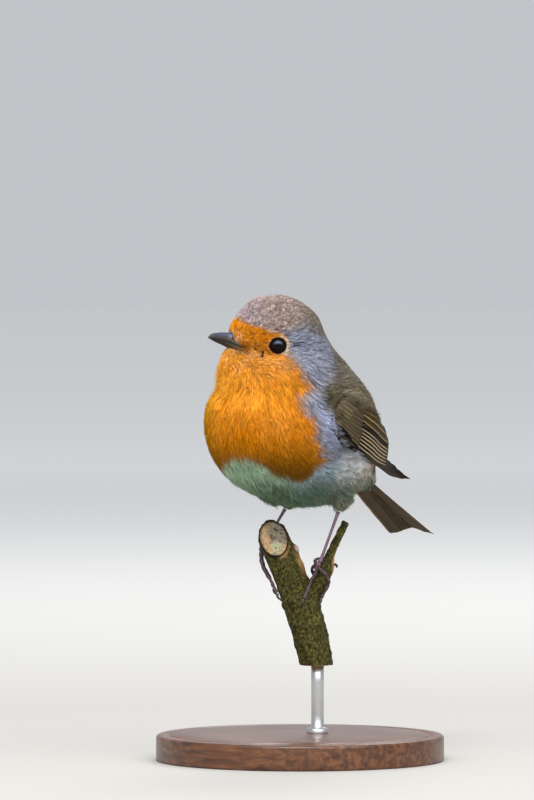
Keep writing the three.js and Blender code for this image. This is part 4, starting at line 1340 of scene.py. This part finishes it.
def make_bill():
    """Both halves of a fine pointed bill, with its ridge, cutting edge and nostrils."""
    for name in BILL_ENDS:
        local, slit = bill_shape(name)
        points, faces, _ = loft(from_head(local))
        add_piece(f"bill_{name}", points, faces, bill_horn, [f"bill_{name}"],
                  tints=bill_tints(name, to_head(points), slit))


make_bill()

# ---------------------------------------------------------------- wings and tail

COLUMNS = np.array([-1, -0.86, -0.72, -0.58, -0.3, -0.06, 0.06, 0.35, 0.7, 1])
FLIGHT_DARK, FLIGHT_EDGE, TERTIAL_EDGE = tone("#19110a"), tone("#c4ae8a"), tone("#927b4a")
TAIL_BROWN, TAIL_EDGE, QUILL_AND_SHADE = tone("#4a3c2b"), tone("#7a6042"), tone("#080604")
VANE_ROWS, VANE_THICK = 26, 0.09
BESIDE_WING, THROUGH_BIRD = 60, 90       # where the rays that feel for the wing start, and their length


def vane_tints(v, middle_tone, edge_tone, soft, fade):
    """A feather's colours: its middle tone, an edge tone that fades towards the tip, and a darker shaft."""
    weight = np.interp(COLUMNS, (-1, -0.8, -0.66, 0.6, 1), (1, 1, soft, soft * 0.6, 0.25 + soft))
    weight = np.concatenate([weight, weight[-2:0:-1]])
    weight = weight * (1 - ease(v, 0.75, 1) * fade)[:, None] + 0.25 * soft * ease(v, 0.85, 1)[:, None]
    tints = mix(middle_tone, edge_tone, np.clip(weight, 0, 1))
    tints = tints * (1 + rng.normal(0, 0.05, (VANE_ROWS, 1, 1))) * rng.normal(1, 0.05)
    shaft = np.abs(COLUMNS) < 0.1
    tints[:, :len(COLUMNS)][:, shaft] *= 0.7
    return np.vstack([tints.reshape(-1, 3), tints[0, :1], tints[-1, :1]])


def vane(line, outer, inner, sheet, base, middle_tone, edge_tone, soft=0.0, tip=0.1, fade=0.35):
    """One feather: a thin closed plate laid on a sheet, its exposed edge on the first side of its line.
    Returns (points, faces, tints, corners round and along, corners in millimetres)."""
    line = curve_through(line, VANE_ROWS)
    way = unit(np.gradient(line, axis=0))
    aside = np.stack([-way[:, 1], way[:, 0]], axis=1)
    v = np.linspace(0, 1, VANE_ROWS)
    pointed = np.sqrt(np.clip(1 - (np.clip(v - (1 - tip), 0, None) / tip) ** 2, 0.004, 1))
    taper = pointed * (0.45 + 0.55 * ease(v, 0, 0.3))
    ragged = 1 + 0.07 * (rng.random((VANE_ROWS, 2)) - 0.5)
    reach = np.where(COLUMNS < 0, outer * ragged[:, :1], inner * ragged[:, 1:]) * taper[:, None]
    spots = line[:, None] + aside[:, None] * (reach * COLUMNS)[..., None]
    places, normals = sheet(spots)
    tilt, arch, shaft = 0.34 * (1 - COLUMNS) / 2, 0.10 * (1 - COLUMNS ** 2), 0.06 * (np.abs(COLUMNS) < 0.1)
    rise = (base + tilt + arch + shaft) * (0.25 + 0.75 * taper[:, None]) + 0.12 * v[:, None]
    top = places + normals * rise[..., None]
    under = (top - normals * VANE_THICK)[:, -2:0:-1]
    points, faces, corners = loft(np.concatenate([top, under], axis=1))
    tints = vane_tints(v, middle_tone, edge_tone, soft, fade)

    run = np.linalg.norm(np.diff(line, axis=0, prepend=line[:1]), axis=1).cumsum()
    wide = np.concatenate([COLUMNS, COLUMNS[-2:0:-1]]) * (outer + inner) / 2
    flat = np.stack(np.broadcast_arrays(wide, run[:, None]), axis=-1)
    flat = np.vstack([flat.reshape(-1, 2), [[0, run[0]], [0, run[-1]]]])
    return points, faces, tints, corners, flat[faces]


def add_vanes(name, feathers, nodes=()):
    """Joins feathers into a piece; each has its own cell of the bake's square."""
    points, faces = gathered([(f[0], f[1]) for f in feathers])
    tints = np.vstack([f[2] for f in feathers])
    columns = math.ceil(math.sqrt(len(feathers) * 2.5))
    rows = math.ceil(len(feathers) / columns)
    bake = [(f[3] * [0.94, 0.86] + [0.03, 0.07] + [i % columns, i // columns]) / [columns, rows]
            for i, f in enumerate(feathers)]
    add_piece(name, points, faces, feather_vane, nodes, tints=tints,
              maps={"OFBake": np.vstack(bake), "vane": np.vstack([f[4] for f in feathers])})


def wing_sheet(side):
    """The smooth outer face of a folded wing, just under the frame's: places for (back, up) pairs."""
    sign = SIDES[side]
    tree = ground_of(*node_solid(f"wing_{side}"))
    backs, highs = np.arange(-3, 72.0), np.arange(-11, 18.0)
    spots = np.stack(np.meshgrid(backs, highs, indexing="ij"), axis=-1)
    flat = WING_FRONT + spots[..., :1] * WING_ALONG + spots[..., 1:] * WING_UP
    start = np.insert(flat.reshape(-1, 2), 0, BESIDE_WING * sign, axis=1)
    gaps = gap_ahead(tree, start, np.tile([-sign, 0, 0], (len(start), 1)), THROUGH_BIRD)
    gaps = gaps.reshape(flat.shape[:2])
    out = BESIDE_WING - gaps
    known = gaps < THROUGH_BIRD
    out = np.where(known, out, out[known].mean())
    for may_move in [~known] * 136 + [np.ones_like(known)] * 4:    # fills what is unknown, then smooths all
        ring = np.pad(out, 1, mode="edge")
        near = (ring[2:, 1:-1] + ring[:-2, 1:-1] + ring[1:-1, 2:] + ring[1:-1, :-2]) / 4
        out = np.where(may_move, near, out)

    def height(q):
        i = np.clip((q[..., 0] - backs[0]), 0, len(backs) - 1.001)
        j = np.clip((q[..., 1] - highs[0]), 0, len(highs) - 1.001)
        a, b = i.astype(int), j.astype(int)
        f, g = i - a, j - b
        return (out[a, b] * (1 - f) * (1 - g) + out[a + 1, b] * f * (1 - g)
                + out[a, b + 1] * (1 - f) * g + out[a + 1, b + 1] * f * g)

    def at(q):
        flat = WING_FRONT + q[..., :1] * WING_ALONG + q[..., 1:] * WING_UP
        return np.concatenate([sign * height(q)[..., None], flat], axis=-1)

    def sheet(q):
        along = at(q + [0.6, 0]) - at(q - [0.6, 0])
        across = at(q + [0, 0.6]) - at(q - [0, 0.6])
        normals = unit(np.cross(along, across)) * sign
        normals = normals * np.sign(normals[..., :1] * sign)
        swell = np.exp(-((q[..., :1] - 42) / 9) ** 2 - ((q[..., 1:] - 3) / 4.5) ** 2)
        return at(q) + normals * (1.1 * swell - 0.5), normals
    return sheet


def wing_feathers(sheet):
    """The feathers of one folded wing, from the deepest to the outermost."""
    feathers = []

    def lay(edge, outer, inner, base, middle_tone, edge_tone, **looks):
        line = np.array(edge, float) + [0, outer]
        feathers.append(vane(line, outer, inner, sheet, base, middle_tone, edge_tone, **looks))

    # The primaries, of which the tips and edges show.
    tips = [(61, -2.2), (64.5, -1.7), (66.3, -1.2), (65.2, -0.7), (62, 0), (58, 0.6)]
    for i, tip in enumerate(tips):
        edge = [(9, -5.7 + 0.25 * i), (24, -6 + 0.4 * i), (40, -4.7 + 0.5 * i), (52, -3.3 + 0.5 * i), tip]
        lay(edge, 0.65, 1.9, -0.3 + 0.08 * i, FLIGHT_DARK, mix(FLIGHT_DARK, FLIGHT_EDGE, 0.14), tip=0.17)
    # The secondaries, whose pale edges make the wing's panel.
    for i in range(6):
        edge = [(9, -5.2 + 0.98 * i), (18, -5.3 + 1.05 * i), (28, -4.8 + 0.95 * i), (37, -3.8 + 0.93 * i),
                (48 - 0.7 * i, -1.8 + 0.75 * i)]
        edge_tone = mix(FLIGHT_EDGE, TERTIAL_EDGE, 0.25 * (i > 3))
        lay(edge, 1.12, 3.0 - 0.25 * i, 0.2, FLIGHT_DARK, edge_tone, fade=0.85)
    tertials = (([(9, 2.1), (18, 2), (27, 1.9), (36, 2.5), (44.5, 3.4)], 1.8, 1.4),
                ([(9, 4.2), (18, 4.1), (27, 4.1), (38, 4.8)], 1.7, 1.2),
                ([(9, 6.1), (18, 6), (29, 6.3)], 1.3, 1.0))
    for i, (edge, outer, inner) in enumerate(tertials):
        lay(edge, outer, inner, 0.3 + 0.06 * i, mix(FLIGHT_DARK, TERTIAL_EDGE, 0.08), TERTIAL_EDGE,
            soft=0.05)
    # The primary coverts, then the great and the middle coverts.
    for i, (back, high) in enumerate([(9.5, -5.3), (12.5, -5.8), (15, -6.1)]):
        lay([(back - 6, high + 0.9), (back - 3, high + 0.3), (back, high)], 0.8, 1.4, 0.2 - 0.05 * i,
            FLIGHT_DARK * 0.8, COVERT_EDGE * 0.9, tip=0.2)
    for back, high in ((14.2, -4.9), (14, -3.8), (13.8, -2.7), (13.2, -1.6), (12.7, -0.5), (12.3, 0.7),
                       (12.6, 2), (13.6, 3.5), (15.2, 5.2), (17, 6.2)):
        worn, slip = rng.uniform(0.75, 1.15), rng.normal(0, 0.3)
        lay([(back - 9, high + 1.6), (back - 4.5, high + 0.65), (back + slip, high)], 0.9, 1.9, 0.5,
            COVERT * 0.8, COVERT_EDGE * worn, soft=0.45, tip=0.22)
    for back, high in ((7.2, -2.8), (6.8, -1.6), (6.9, -0.4), (7.2, 0.8), (7.8, 2), (8.6, 3.3), (9.8, 4.7)):
        worn, slip = rng.uniform(0.75, 1.15), rng.normal(0, 0.4)
        lay([(back - 6, high + 1.8), (back - 3, high + 0.8), (back + slip, high)], 0.8, 1.6, 0.5,
            COVERT * 0.9, mix(COVERT_EDGE, OLIVE_LIGHT, 0.15) * worn, soft=0.5, tip=0.25)
    # Two black quills, at the wing's bend and along its lower edge: dark feathers that also stand as painted
    # shade in the gap between wing and flank.
    for edge, half_width, base in (([(2.9, -1.9), (5.5, -3.3), (9.2, -4.9)], 0.42, 1.25),
                                   ([(7.4, -5.8), (10.5, -6.05), (15, -6.1), (20, -6)], 0.28, 1.0)):
        lay(edge, half_width, half_width, base, QUILL_AND_SHADE, QUILL_AND_SHADE, tip=0.12)
    return feathers


for side in SIDES:
    points, faces = wing_cores[side]
    # The core's tint is the plumage darkened as painted shade under the feathers, turning to the flight
    # feathers' dark behind the front.
    tints = mix(plumage(points) * 0.45, FLIGHT_DARK, ease(wing_place(points)[0], 2.5, 5))
    add_piece(f"wing_core_{side}", points, faces, feather_down, [f"wing_{side}"],
              tints=tints)
    add_vanes(f"wing_feathers_{side}", wing_feathers(wing_sheet(side)))


def tail_sheet(q):
    """The tail's upper face, for (along, across) pairs: it arches down towards both edges."""
    along, across = q[..., 0], q[..., 1]
    half = 5 + 3 * np.clip(along / 57, 0, 1)
    local = np.stack([-across, along, -1.6 * np.clip(across / half, -1.2, 1.2) ** 2], axis=-1)
    slope = 3.2 * across / half ** 2
    normals = unit(np.stack([-slope, np.zeros_like(slope), np.ones_like(slope)], axis=-1))
    return local @ TAIL.T + TAIL_ROOT, normals @ TAIL.T


def make_tail():
    """Twelve feathers, closed: the middle pair on top and each next pair below it and further out."""
    feathers = []
    for pair in range(5, -1, -1):
        for sign in (-1, 1):
            def sheet(q, sign=sign):
                return tail_sheet(q * [1, -sign])
            start, end = 0.4 + 0.45 * pair, 0.9 + 1.12 * pair
            length = 56 + 0.25 * pair - 0.9 * (pair == 0)
            line = [(4, -start), (30, -(start + end) / 2), (length, -end)]
            inner, base = 2.6 if pair else 1.5, -0.5 - 0.16 * pair
            feathers.append(vane(line, 1.7, inner, sheet, base, TAIL_BROWN, TAIL_EDGE, tip=0.07))
    add_vanes("tail_feathers", feathers, ["tail"])


make_tail()

# ---------------------------------------------------------------- legs, feet and claws

# For each side the middle lines of the shin and the four toes, before they are turned with the perch.
LEGS = {
    "left": [[(12, -0.1, 77.8), (5.9, 1.7, 60.8)],
             [(5.9, 1.7, 60.8), (4.3, 2.6, 60.6), (3.6, 4.8, 59.2), (4.2, 7, 57.6)],
             [(5.9, 1.7, 60.8), (4.5, 1, 58.2), (2.8, 1.2, 55.2), (1.6, 0.6, 52.6), (0.9, 0.1, 50.4)],
             [(5.9, 1.7, 60.8), (7.6, 0.9, 58.6), (8.6, 1.5, 55.8), (7.8, 1.4, 52.8), (6.9, 1.2, 50.6)],
             [(5.9, 1.7, 60.8), (5.4, 3.4, 61.8), (5.8, 6.2, 62.6), (8.4, 7.4, 62.2), (10.4, 6.6, 61)]],
    "right": [[(-4.6, 12.6, 78), (-12, 10.2, 65.5)],
              [(-12, 10.2, 65.5), (-13.6, 8.2, 62), (-13, 7.6, 58.5), (-11.4, 6.8, 55.6), (-9.9, 6, 53)],
              [(-12, 10.2, 65.5), (-12.4, 6.2, 62), (-11.4, 4.1, 58), (-10, 2.7, 54.4), (-8.6, 1.9, 51.8)],
              [(-12, 10.2, 65.5), (-11, 10.4, 62), (-9, 11, 58.4), (-7, 11, 55.2)],
              [(-12, 10.2, 65.5), (-9.8, 11.4, 64.4), (-6, 11.8, 63.2), (-2.6, 10.4, 61.8)]],
}


LEG_VOXEL, CLAW_VOXEL = 0.17, 0.11
SHIN_PLATE, TOE_PLATE, TOE_JOINT = 2.1, 0.95, 2.8      # from one plate or joint to the next
LEG, LEG_LIGHT, LEG_PAINTED_HIGHLIGHT = tone("#38242a"), tone("#6d5058"), tone("#8d7484")
LEG_GROOVE, CLAW, CLAW_LIGHT = tone("#2c1d1e"), tone("#1b1513"), tone("#4a3b33")


def make_leg(side):
    """A thin leg and its toes, with a row of plates down the front and top, and pads along the toes."""
    points, faces = remeshed(*gathered([node_solid(f"{part}_{side}", 0.16) for part in ("leg", "foot")]),
                             LEG_VOXEL)
    points = relaxed(points, faces, 6)
    ankle = np.array(LEGS[side][0][1]) @ PERCH.T
    ups = vertex_normals(points, faces)
    points = points - ups * (0.16 + 0.2 * ease(points[:, 2] - ankle[2], 1, 3))[:, None]

    nearest, run, shin = np.full(len(points), 99.0), np.zeros(len(points)), np.zeros(len(points))
    for number, line in enumerate(LEGS[side]):
        line = curve_through(line, 60) @ PERCH.T
        gaps = np.linalg.norm(points[:, None] - line[None], axis=-1)
        step = np.linalg.norm(line[1] - line[0])
        closer = gaps.min(1) < nearest
        nearest = np.where(closer, gaps.min(1), nearest)
        run = np.where(closer, gaps.argmin(1) * step, run)
        shin = np.where(closer, number == 0, shin)
    on_shin = shin > 0
    front = np.where(on_shin, -ups[:, 1] * 0.8 + ups[:, 0] * 0.4, ups @ [0.45, -0.65, 0.5])
    front = np.clip(front + 0.3, 0, 1)
    groove = 1 - np.abs(np.sin(np.pi * run / np.where(on_shin, SHIN_PLATE, TOE_PLATE))) ** 0.35
    joint = np.where(on_shin, 0, 0.07 * np.cos(2 * np.pi * run / TOE_JOINT))
    points = points + ups * (joint - np.where(on_shin, 0.03, 0.09) * groove * front)[:, None]

    tints = mix(LEG, LEG_LIGHT, grain(points, 0.9, 61))
    # A painted highlight down the side of the shin that faces ahead.
    tints = mix(tints, LEG_PAINTED_HIGHLIGHT, 0.7 * shin * ease(ups @ [0.2, -0.9, 0.2], 0.3, 0.8))
    tints = mix(tints, LEG_GROOVE, np.where(on_shin, 0.25, 0.75) * groove * front)
    tints *= np.where(on_shin, 1.0, 0.8)[:, None]
    add_piece(f"leg_and_foot_{side}", points, faces, leg_scales,
              [f"leg_{side}", f"foot_{side}"], tints=tints)


def make_claws(side):
    """The four claws of a foot."""
    claws = [f"claw_{side}_{number}" for number in range(1, 5)]
    points, faces = gathered([remeshed(*node_solid(claw, 0.02), CLAW_VOXEL) for claw in claws])
    points = relaxed(points, faces, 4)
    tints = mix(CLAW, CLAW_LIGHT, 0.6 * grain(points, 1.2, 62))
    add_piece(f"claws_{side}", points, faces, claw_horn, claws, tints=tints)


for side in SIDES:
    make_leg(side)
    make_claws(side)

# ---------------------------------------------------------------- perch

PERCH_VOXEL = 0.36
PERCH_NODES = ("perch_branch", "perch_twig")
STUB_CUT, STUB_LEAN, CUT_TILT = np.array([-8.1, 5, 68.75]), math.radians(22.7), math.radians(52)
NUB_AT, STRIP_AT = np.array([-2.2, 3.6, 65.6]), np.array([-0.6, 4, 61.5])
BRANCH_END = 31                  # the square-cut lower end is below this height
BARK, BARK_PALE, BARK_DARK = tone("#3a3611"), tone("#68642f"), tone("#1b1706")
BARK_TORN, BARK_STRIP_HIGHLIGHT, NUB_BREAK_AND_HIGHLIGHT = tone("#b8925c"), tone("#b58a52"), tone("#d0a8a0")
WOOD, WOOD_GREY, WOOD_PALE, ALGAE = tone("#cfb386"), tone("#988a78"), tone("#c3c2a0"), tone("#6f7a4a")


def cut_colours(points, off):
    """The cut's weathered wood: grey and split at its upper end, pale and a little green at its lower."""
    blotch = 0.6 * grain(points, (1.6, 1.6, 1.9), 78) + 0.4 * grain(points, 0.6, 80)
    upper = ease(off[:, 2], -2, 2.5)
    tints = mix(WOOD * [0.95, 0.82, 0.8], WOOD, ease(blotch, 0.35, 0.65))
    grey = blotch + 0.55 * upper - 0.5 * ease(-off[:, 0], 0.7, 2.6)
    tints = mix(tints, WOOD_GREY, ease(grey, 0.45, 0.75))
    splits = ease(grain(points, 0.65, 79), 0.58, 0.72) * upper * ease(off[:, 0], -3, -1)
    tints = mix(tints, BARK_DARK, 0.9 * splits)
    low_spot = hill((off[:, 0], 0.9, 2.3), (off[:, 2], -2.2, 1.7))
    tints = mix(tints, WOOD_PALE, 0.9 * ease(low_spot + 0.9 * blotch, 0.8, 1.15))
    tints = mix(tints, ALGAE, 0.6 * ease(low_spot, 0.3, 0.7) * ease(grain(points, 0.5, 82), 0.55, 0.75))
    return mix(tints, BARK_DARK, 0.45 * ease(grain(points, 0.5, 81), 0.7, 0.9))


def make_perch():
    """The forked branch: rough bark with specks of lichen, a pale nub with a painted highlight, a ridge down
    its right side lit with a painted tan highlight, and the torn rim and wood of its slanting cut."""
    points, faces = remeshed(*gathered([node_solid(node, 0.16) for node in PERCH_NODES]), PERCH_VOXEL)
    points = relaxed(points, faces, 5)
    points = points - vertex_normals(points, faces) * 0.05
    ups = vertex_normals(points, faces)
    rise = np.array([-math.sin(STUB_LEAN), 0, math.cos(STUB_LEAN)])
    way = rise * math.cos(CUT_TILT) - [0, math.sin(CUT_TILT), 0]
    local, local_ups = points @ PERCH, ups @ PERCH
    off = local - STUB_CUT
    on_cut = ease(local_ups @ way, 0.75, 0.93) * (np.abs(off @ way) < 1.2)
    radial = np.linalg.norm(off - (off @ rise)[:, None] * rise, axis=1)
    rim = ease(radial, 3.7, 4.25)
    face = on_cut * (1 - rim)

    rough = grain(points, (0.8, 0.8, 1.6), 71) + 0.6 * grain(points, (0.5, 0.5, 0.9), 72) - 0.8
    knots = np.clip(grain(points, (2.2, 2.2, 3.0), 73) - 0.62, 0, 1)
    flake = on_cut * rim * ease(off[:, 0], 0.5, 3.5)
    nub = np.exp(-(np.linalg.norm(local - NUB_AT, axis=1) / 1.5) ** 2)
    sideways = local_ups[:, 0]
    ridge = hill((local[:, 2], STRIP_AT[2], 3.4)) * ease(sideways, 0.3, 0.9)
    shift = (0.34 * rough + 1.3 * knots) * (1 - face)
    shift += face * (-0.35 + 0.25 * (grain(points, 0.9, 74) - 0.5)) + (0.2 + 0.5 * flake) * on_cut * rim
    shift += 1.5 * nub + 0.7 * ridge * (local[:, 0] < 3)
    points = points + ups * (shift * ease(points[:, 2], 29.4, 30.6))[:, None]

    speck = ease(grain(points, 0.38, 75) + 0.15 * grain(points, 2.4, 76), 0.62, 0.9)
    tints = mix(BARK, BARK_DARK, ease(grain(points, (0.4, 0.4, 0.6), 77), 0.4, 0.8))
    tints = mix(tints, BARK_PALE, 0.7 * speck)
    # Painted highlight: tan down the ridge on the branch's right side, where it faces the light.
    strip = hill((local[:, 2], STRIP_AT[2], 3)) * ease(sideways, 0.55, 0.9)
    tints = mix(tints, BARK_STRIP_HIGHLIGHT, 0.75 * strip * ease(local[:, 0] - STRIP_AT[0], -2.5, -0.5))
    tints = mix(tints, BARK_DARK * 0.6, on_cut * rim)
    tints = mix(tints, BARK_TORN, 0.8 * flake * ease(radial, 4.4, 4.9))
    # The nub's pale pink: its broken end, with a painted highlight.
    tints = mix(tints, NUB_BREAK_AND_HIGHLIGHT, 0.85 * ease(nub, 0.35, 0.8))
    tints = mix(tints, cut_colours(points, off), face)
    ends = (ups[:, 2] < -0.8) & (points[:, 2] < BRANCH_END)
    tints = np.where(ends[:, None], WOOD * 0.8, tints)
    add_piece("perch", points, faces, branch_bark, PERCH_NODES, tints=tints)


make_perch()

# ---------------------------------------------------------------- stand


def turned(rings, middle_at, sides):
    """A lathe-turned shape from (radius, height) pairs."""
    angle = full_turn(sides)
    rings = np.array(rings, float)
    circle = np.stack([np.cos(angle), np.sin(angle)], axis=1)
    flat = np.asarray(middle_at) + rings[:, None, :1] * circle
    heights = np.broadcast_to(rings[:, None, 1:], (*flat.shape[:2], 1))
    return loft(np.concatenate([flat, heights], axis=-1))[:2]


def make_stand():
    """A round base with an eased rim and a fine groove, and a brushed rod in a collar for the branch."""
    rim = [(43.9 + 1.1 * math.cos(t), 6.9 + 1.1 * math.sin(t)) for t in np.linspace(0, math.pi / 2, 7)]
    foot = [(44.3 + 0.7 * math.cos(t), 0.7 + 0.7 * math.sin(t)) for t in np.linspace(-math.pi / 2, 0, 5)]
    groove = [(41.6, 8), (41.3, 7.75), (40.9, 7.65), (40.5, 7.75), (40.2, 8)]
    wood = [(2, 0), (30, 0), *foot, (45, 2), (45, 5), *rim, (42.6, 8), *groove, (30, 8), (12, 8), (3, 8)]
    points, faces = turned(wood, (0, 0), 256)
    add_piece("base", points, faces, base_walnut, ["stand_base"])

    low, high = (np.array(corner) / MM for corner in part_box("stand_rod"))
    at = ((low + high) / 2)[:2]
    rod = [(1.2, 7.6), (3.3, 7.6), (3.4, 8.1), (3.4, 9.3), (3.1, 9.7), (2.15, 9.9), (2, 10.1), (2, 14),
           (2, 24), (2, 30.5), (1.2, 30.6)]
    points, faces = turned(rod, at, 64)
    add_piece("rod", points, faces, rod_steel, ["stand_rod"])


make_stand()

# ---------------------------------------------------------------- stage and lights


FLOOR_RADIUS, FLOOR_SIDES = 6000, 96


def make_stage():
    """A pale paper floor that runs out to white, under an even pale sky."""
    around, number = full_turn(FLOOR_SIDES), np.arange(FLOOR_SIDES)
    disc = np.stack([np.cos(around) * FLOOR_RADIUS, np.sin(around) * FLOOR_RADIUS, 0 * around], axis=1)
    points = np.vstack([disc, [[0, 0, 0]]])
    faces = np.stack([0 * number + FLOOR_SIDES, number, (number + 1) % FLOOR_SIDES], axis=1)
    mesh = bare_mesh("floor", points, faces)

    def paper(tree):
        away = add(tree, "VectorMath", {0: millimetres(tree, 0.0004, 0.0004, 0.0004)}, operation="LENGTH")
        return {"Base Color": ramp(tree, away.outputs["Value"], (0.1, "#b4b2ae"), (0.85, "#ffffff"))}
    mesh.materials.append(finish("pale_paper", paper, Roughness=0.95, Specular_IOR_Level=0.05))
    floor = bpy.data.objects.new("floor", mesh)
    bpy.context.scene.collection.objects.link(floor)

    world = bpy.data.worlds.new("sky")
    world.use_nodes = True
    world.node_tree.nodes["Background"].inputs["Color"].default_value = (0.90, 0.93, 0.97, 1)
    world.node_tree.nodes["Background"].inputs["Strength"].default_value = 0.6
    bpy.context.scene.world = world


BIRD_MIDDLE = Vector((0, 0, 105))


def make_light(name, azimuth, elevation, distance, size, watts, colour, only=None):
    """A soft box that faces the bird. Its azimuth is measured from the camera's, and with only it lights
    nothing but that collection, in its gloss."""
    a, e = AZIMUTH + math.radians(azimuth), math.radians(elevation)
    way = Vector((math.sin(a) * math.cos(e), -math.cos(a) * math.cos(e), math.sin(e)))
    lamp = bpy.data.lights.new(name, "AREA")
    lamp.shape = "RECTANGLE"
    lamp.size, lamp.size_y = size[0] * MM, size[1] * MM
    lamp.energy = watts
    lamp.color = colour
    light = bpy.data.objects.new(name, lamp)
    light.location = (BIRD_MIDDLE + way * distance) * MM
    light.rotation_mode = "QUATERNION"
    light.rotation_quaternion = way.to_track_quat("Z", "Y")
    light.visible_camera = False
    bpy.context.scene.collection.objects.link(light)
    if only:
        light.visible_diffuse = False
        light.light_linking.receiver_collection = only


make_stage()
make_light("key", 8, 43, 1300, (2400, 1500), 30, (0.98, 0.99, 1.0))
make_light("sun", -8, 58, 1200, (500, 400), 7, (1.0, 0.97, 0.92))
make_light("sky_glint", 2, 42, 1250, (3600, 1000), 170, (0.40, 0.60, 1.0), only=glossy)
make_light("sky_gap", 8, 40, 1200, (1100, 330), 26, (0.72, 0.85, 1.0), only=glossy)
make_light("rim", 170, 45, 1200, (600, 600), 7, (1.0, 1.0, 1.0))
bpy.context.scene.view_settings.view_transform = "Standard"
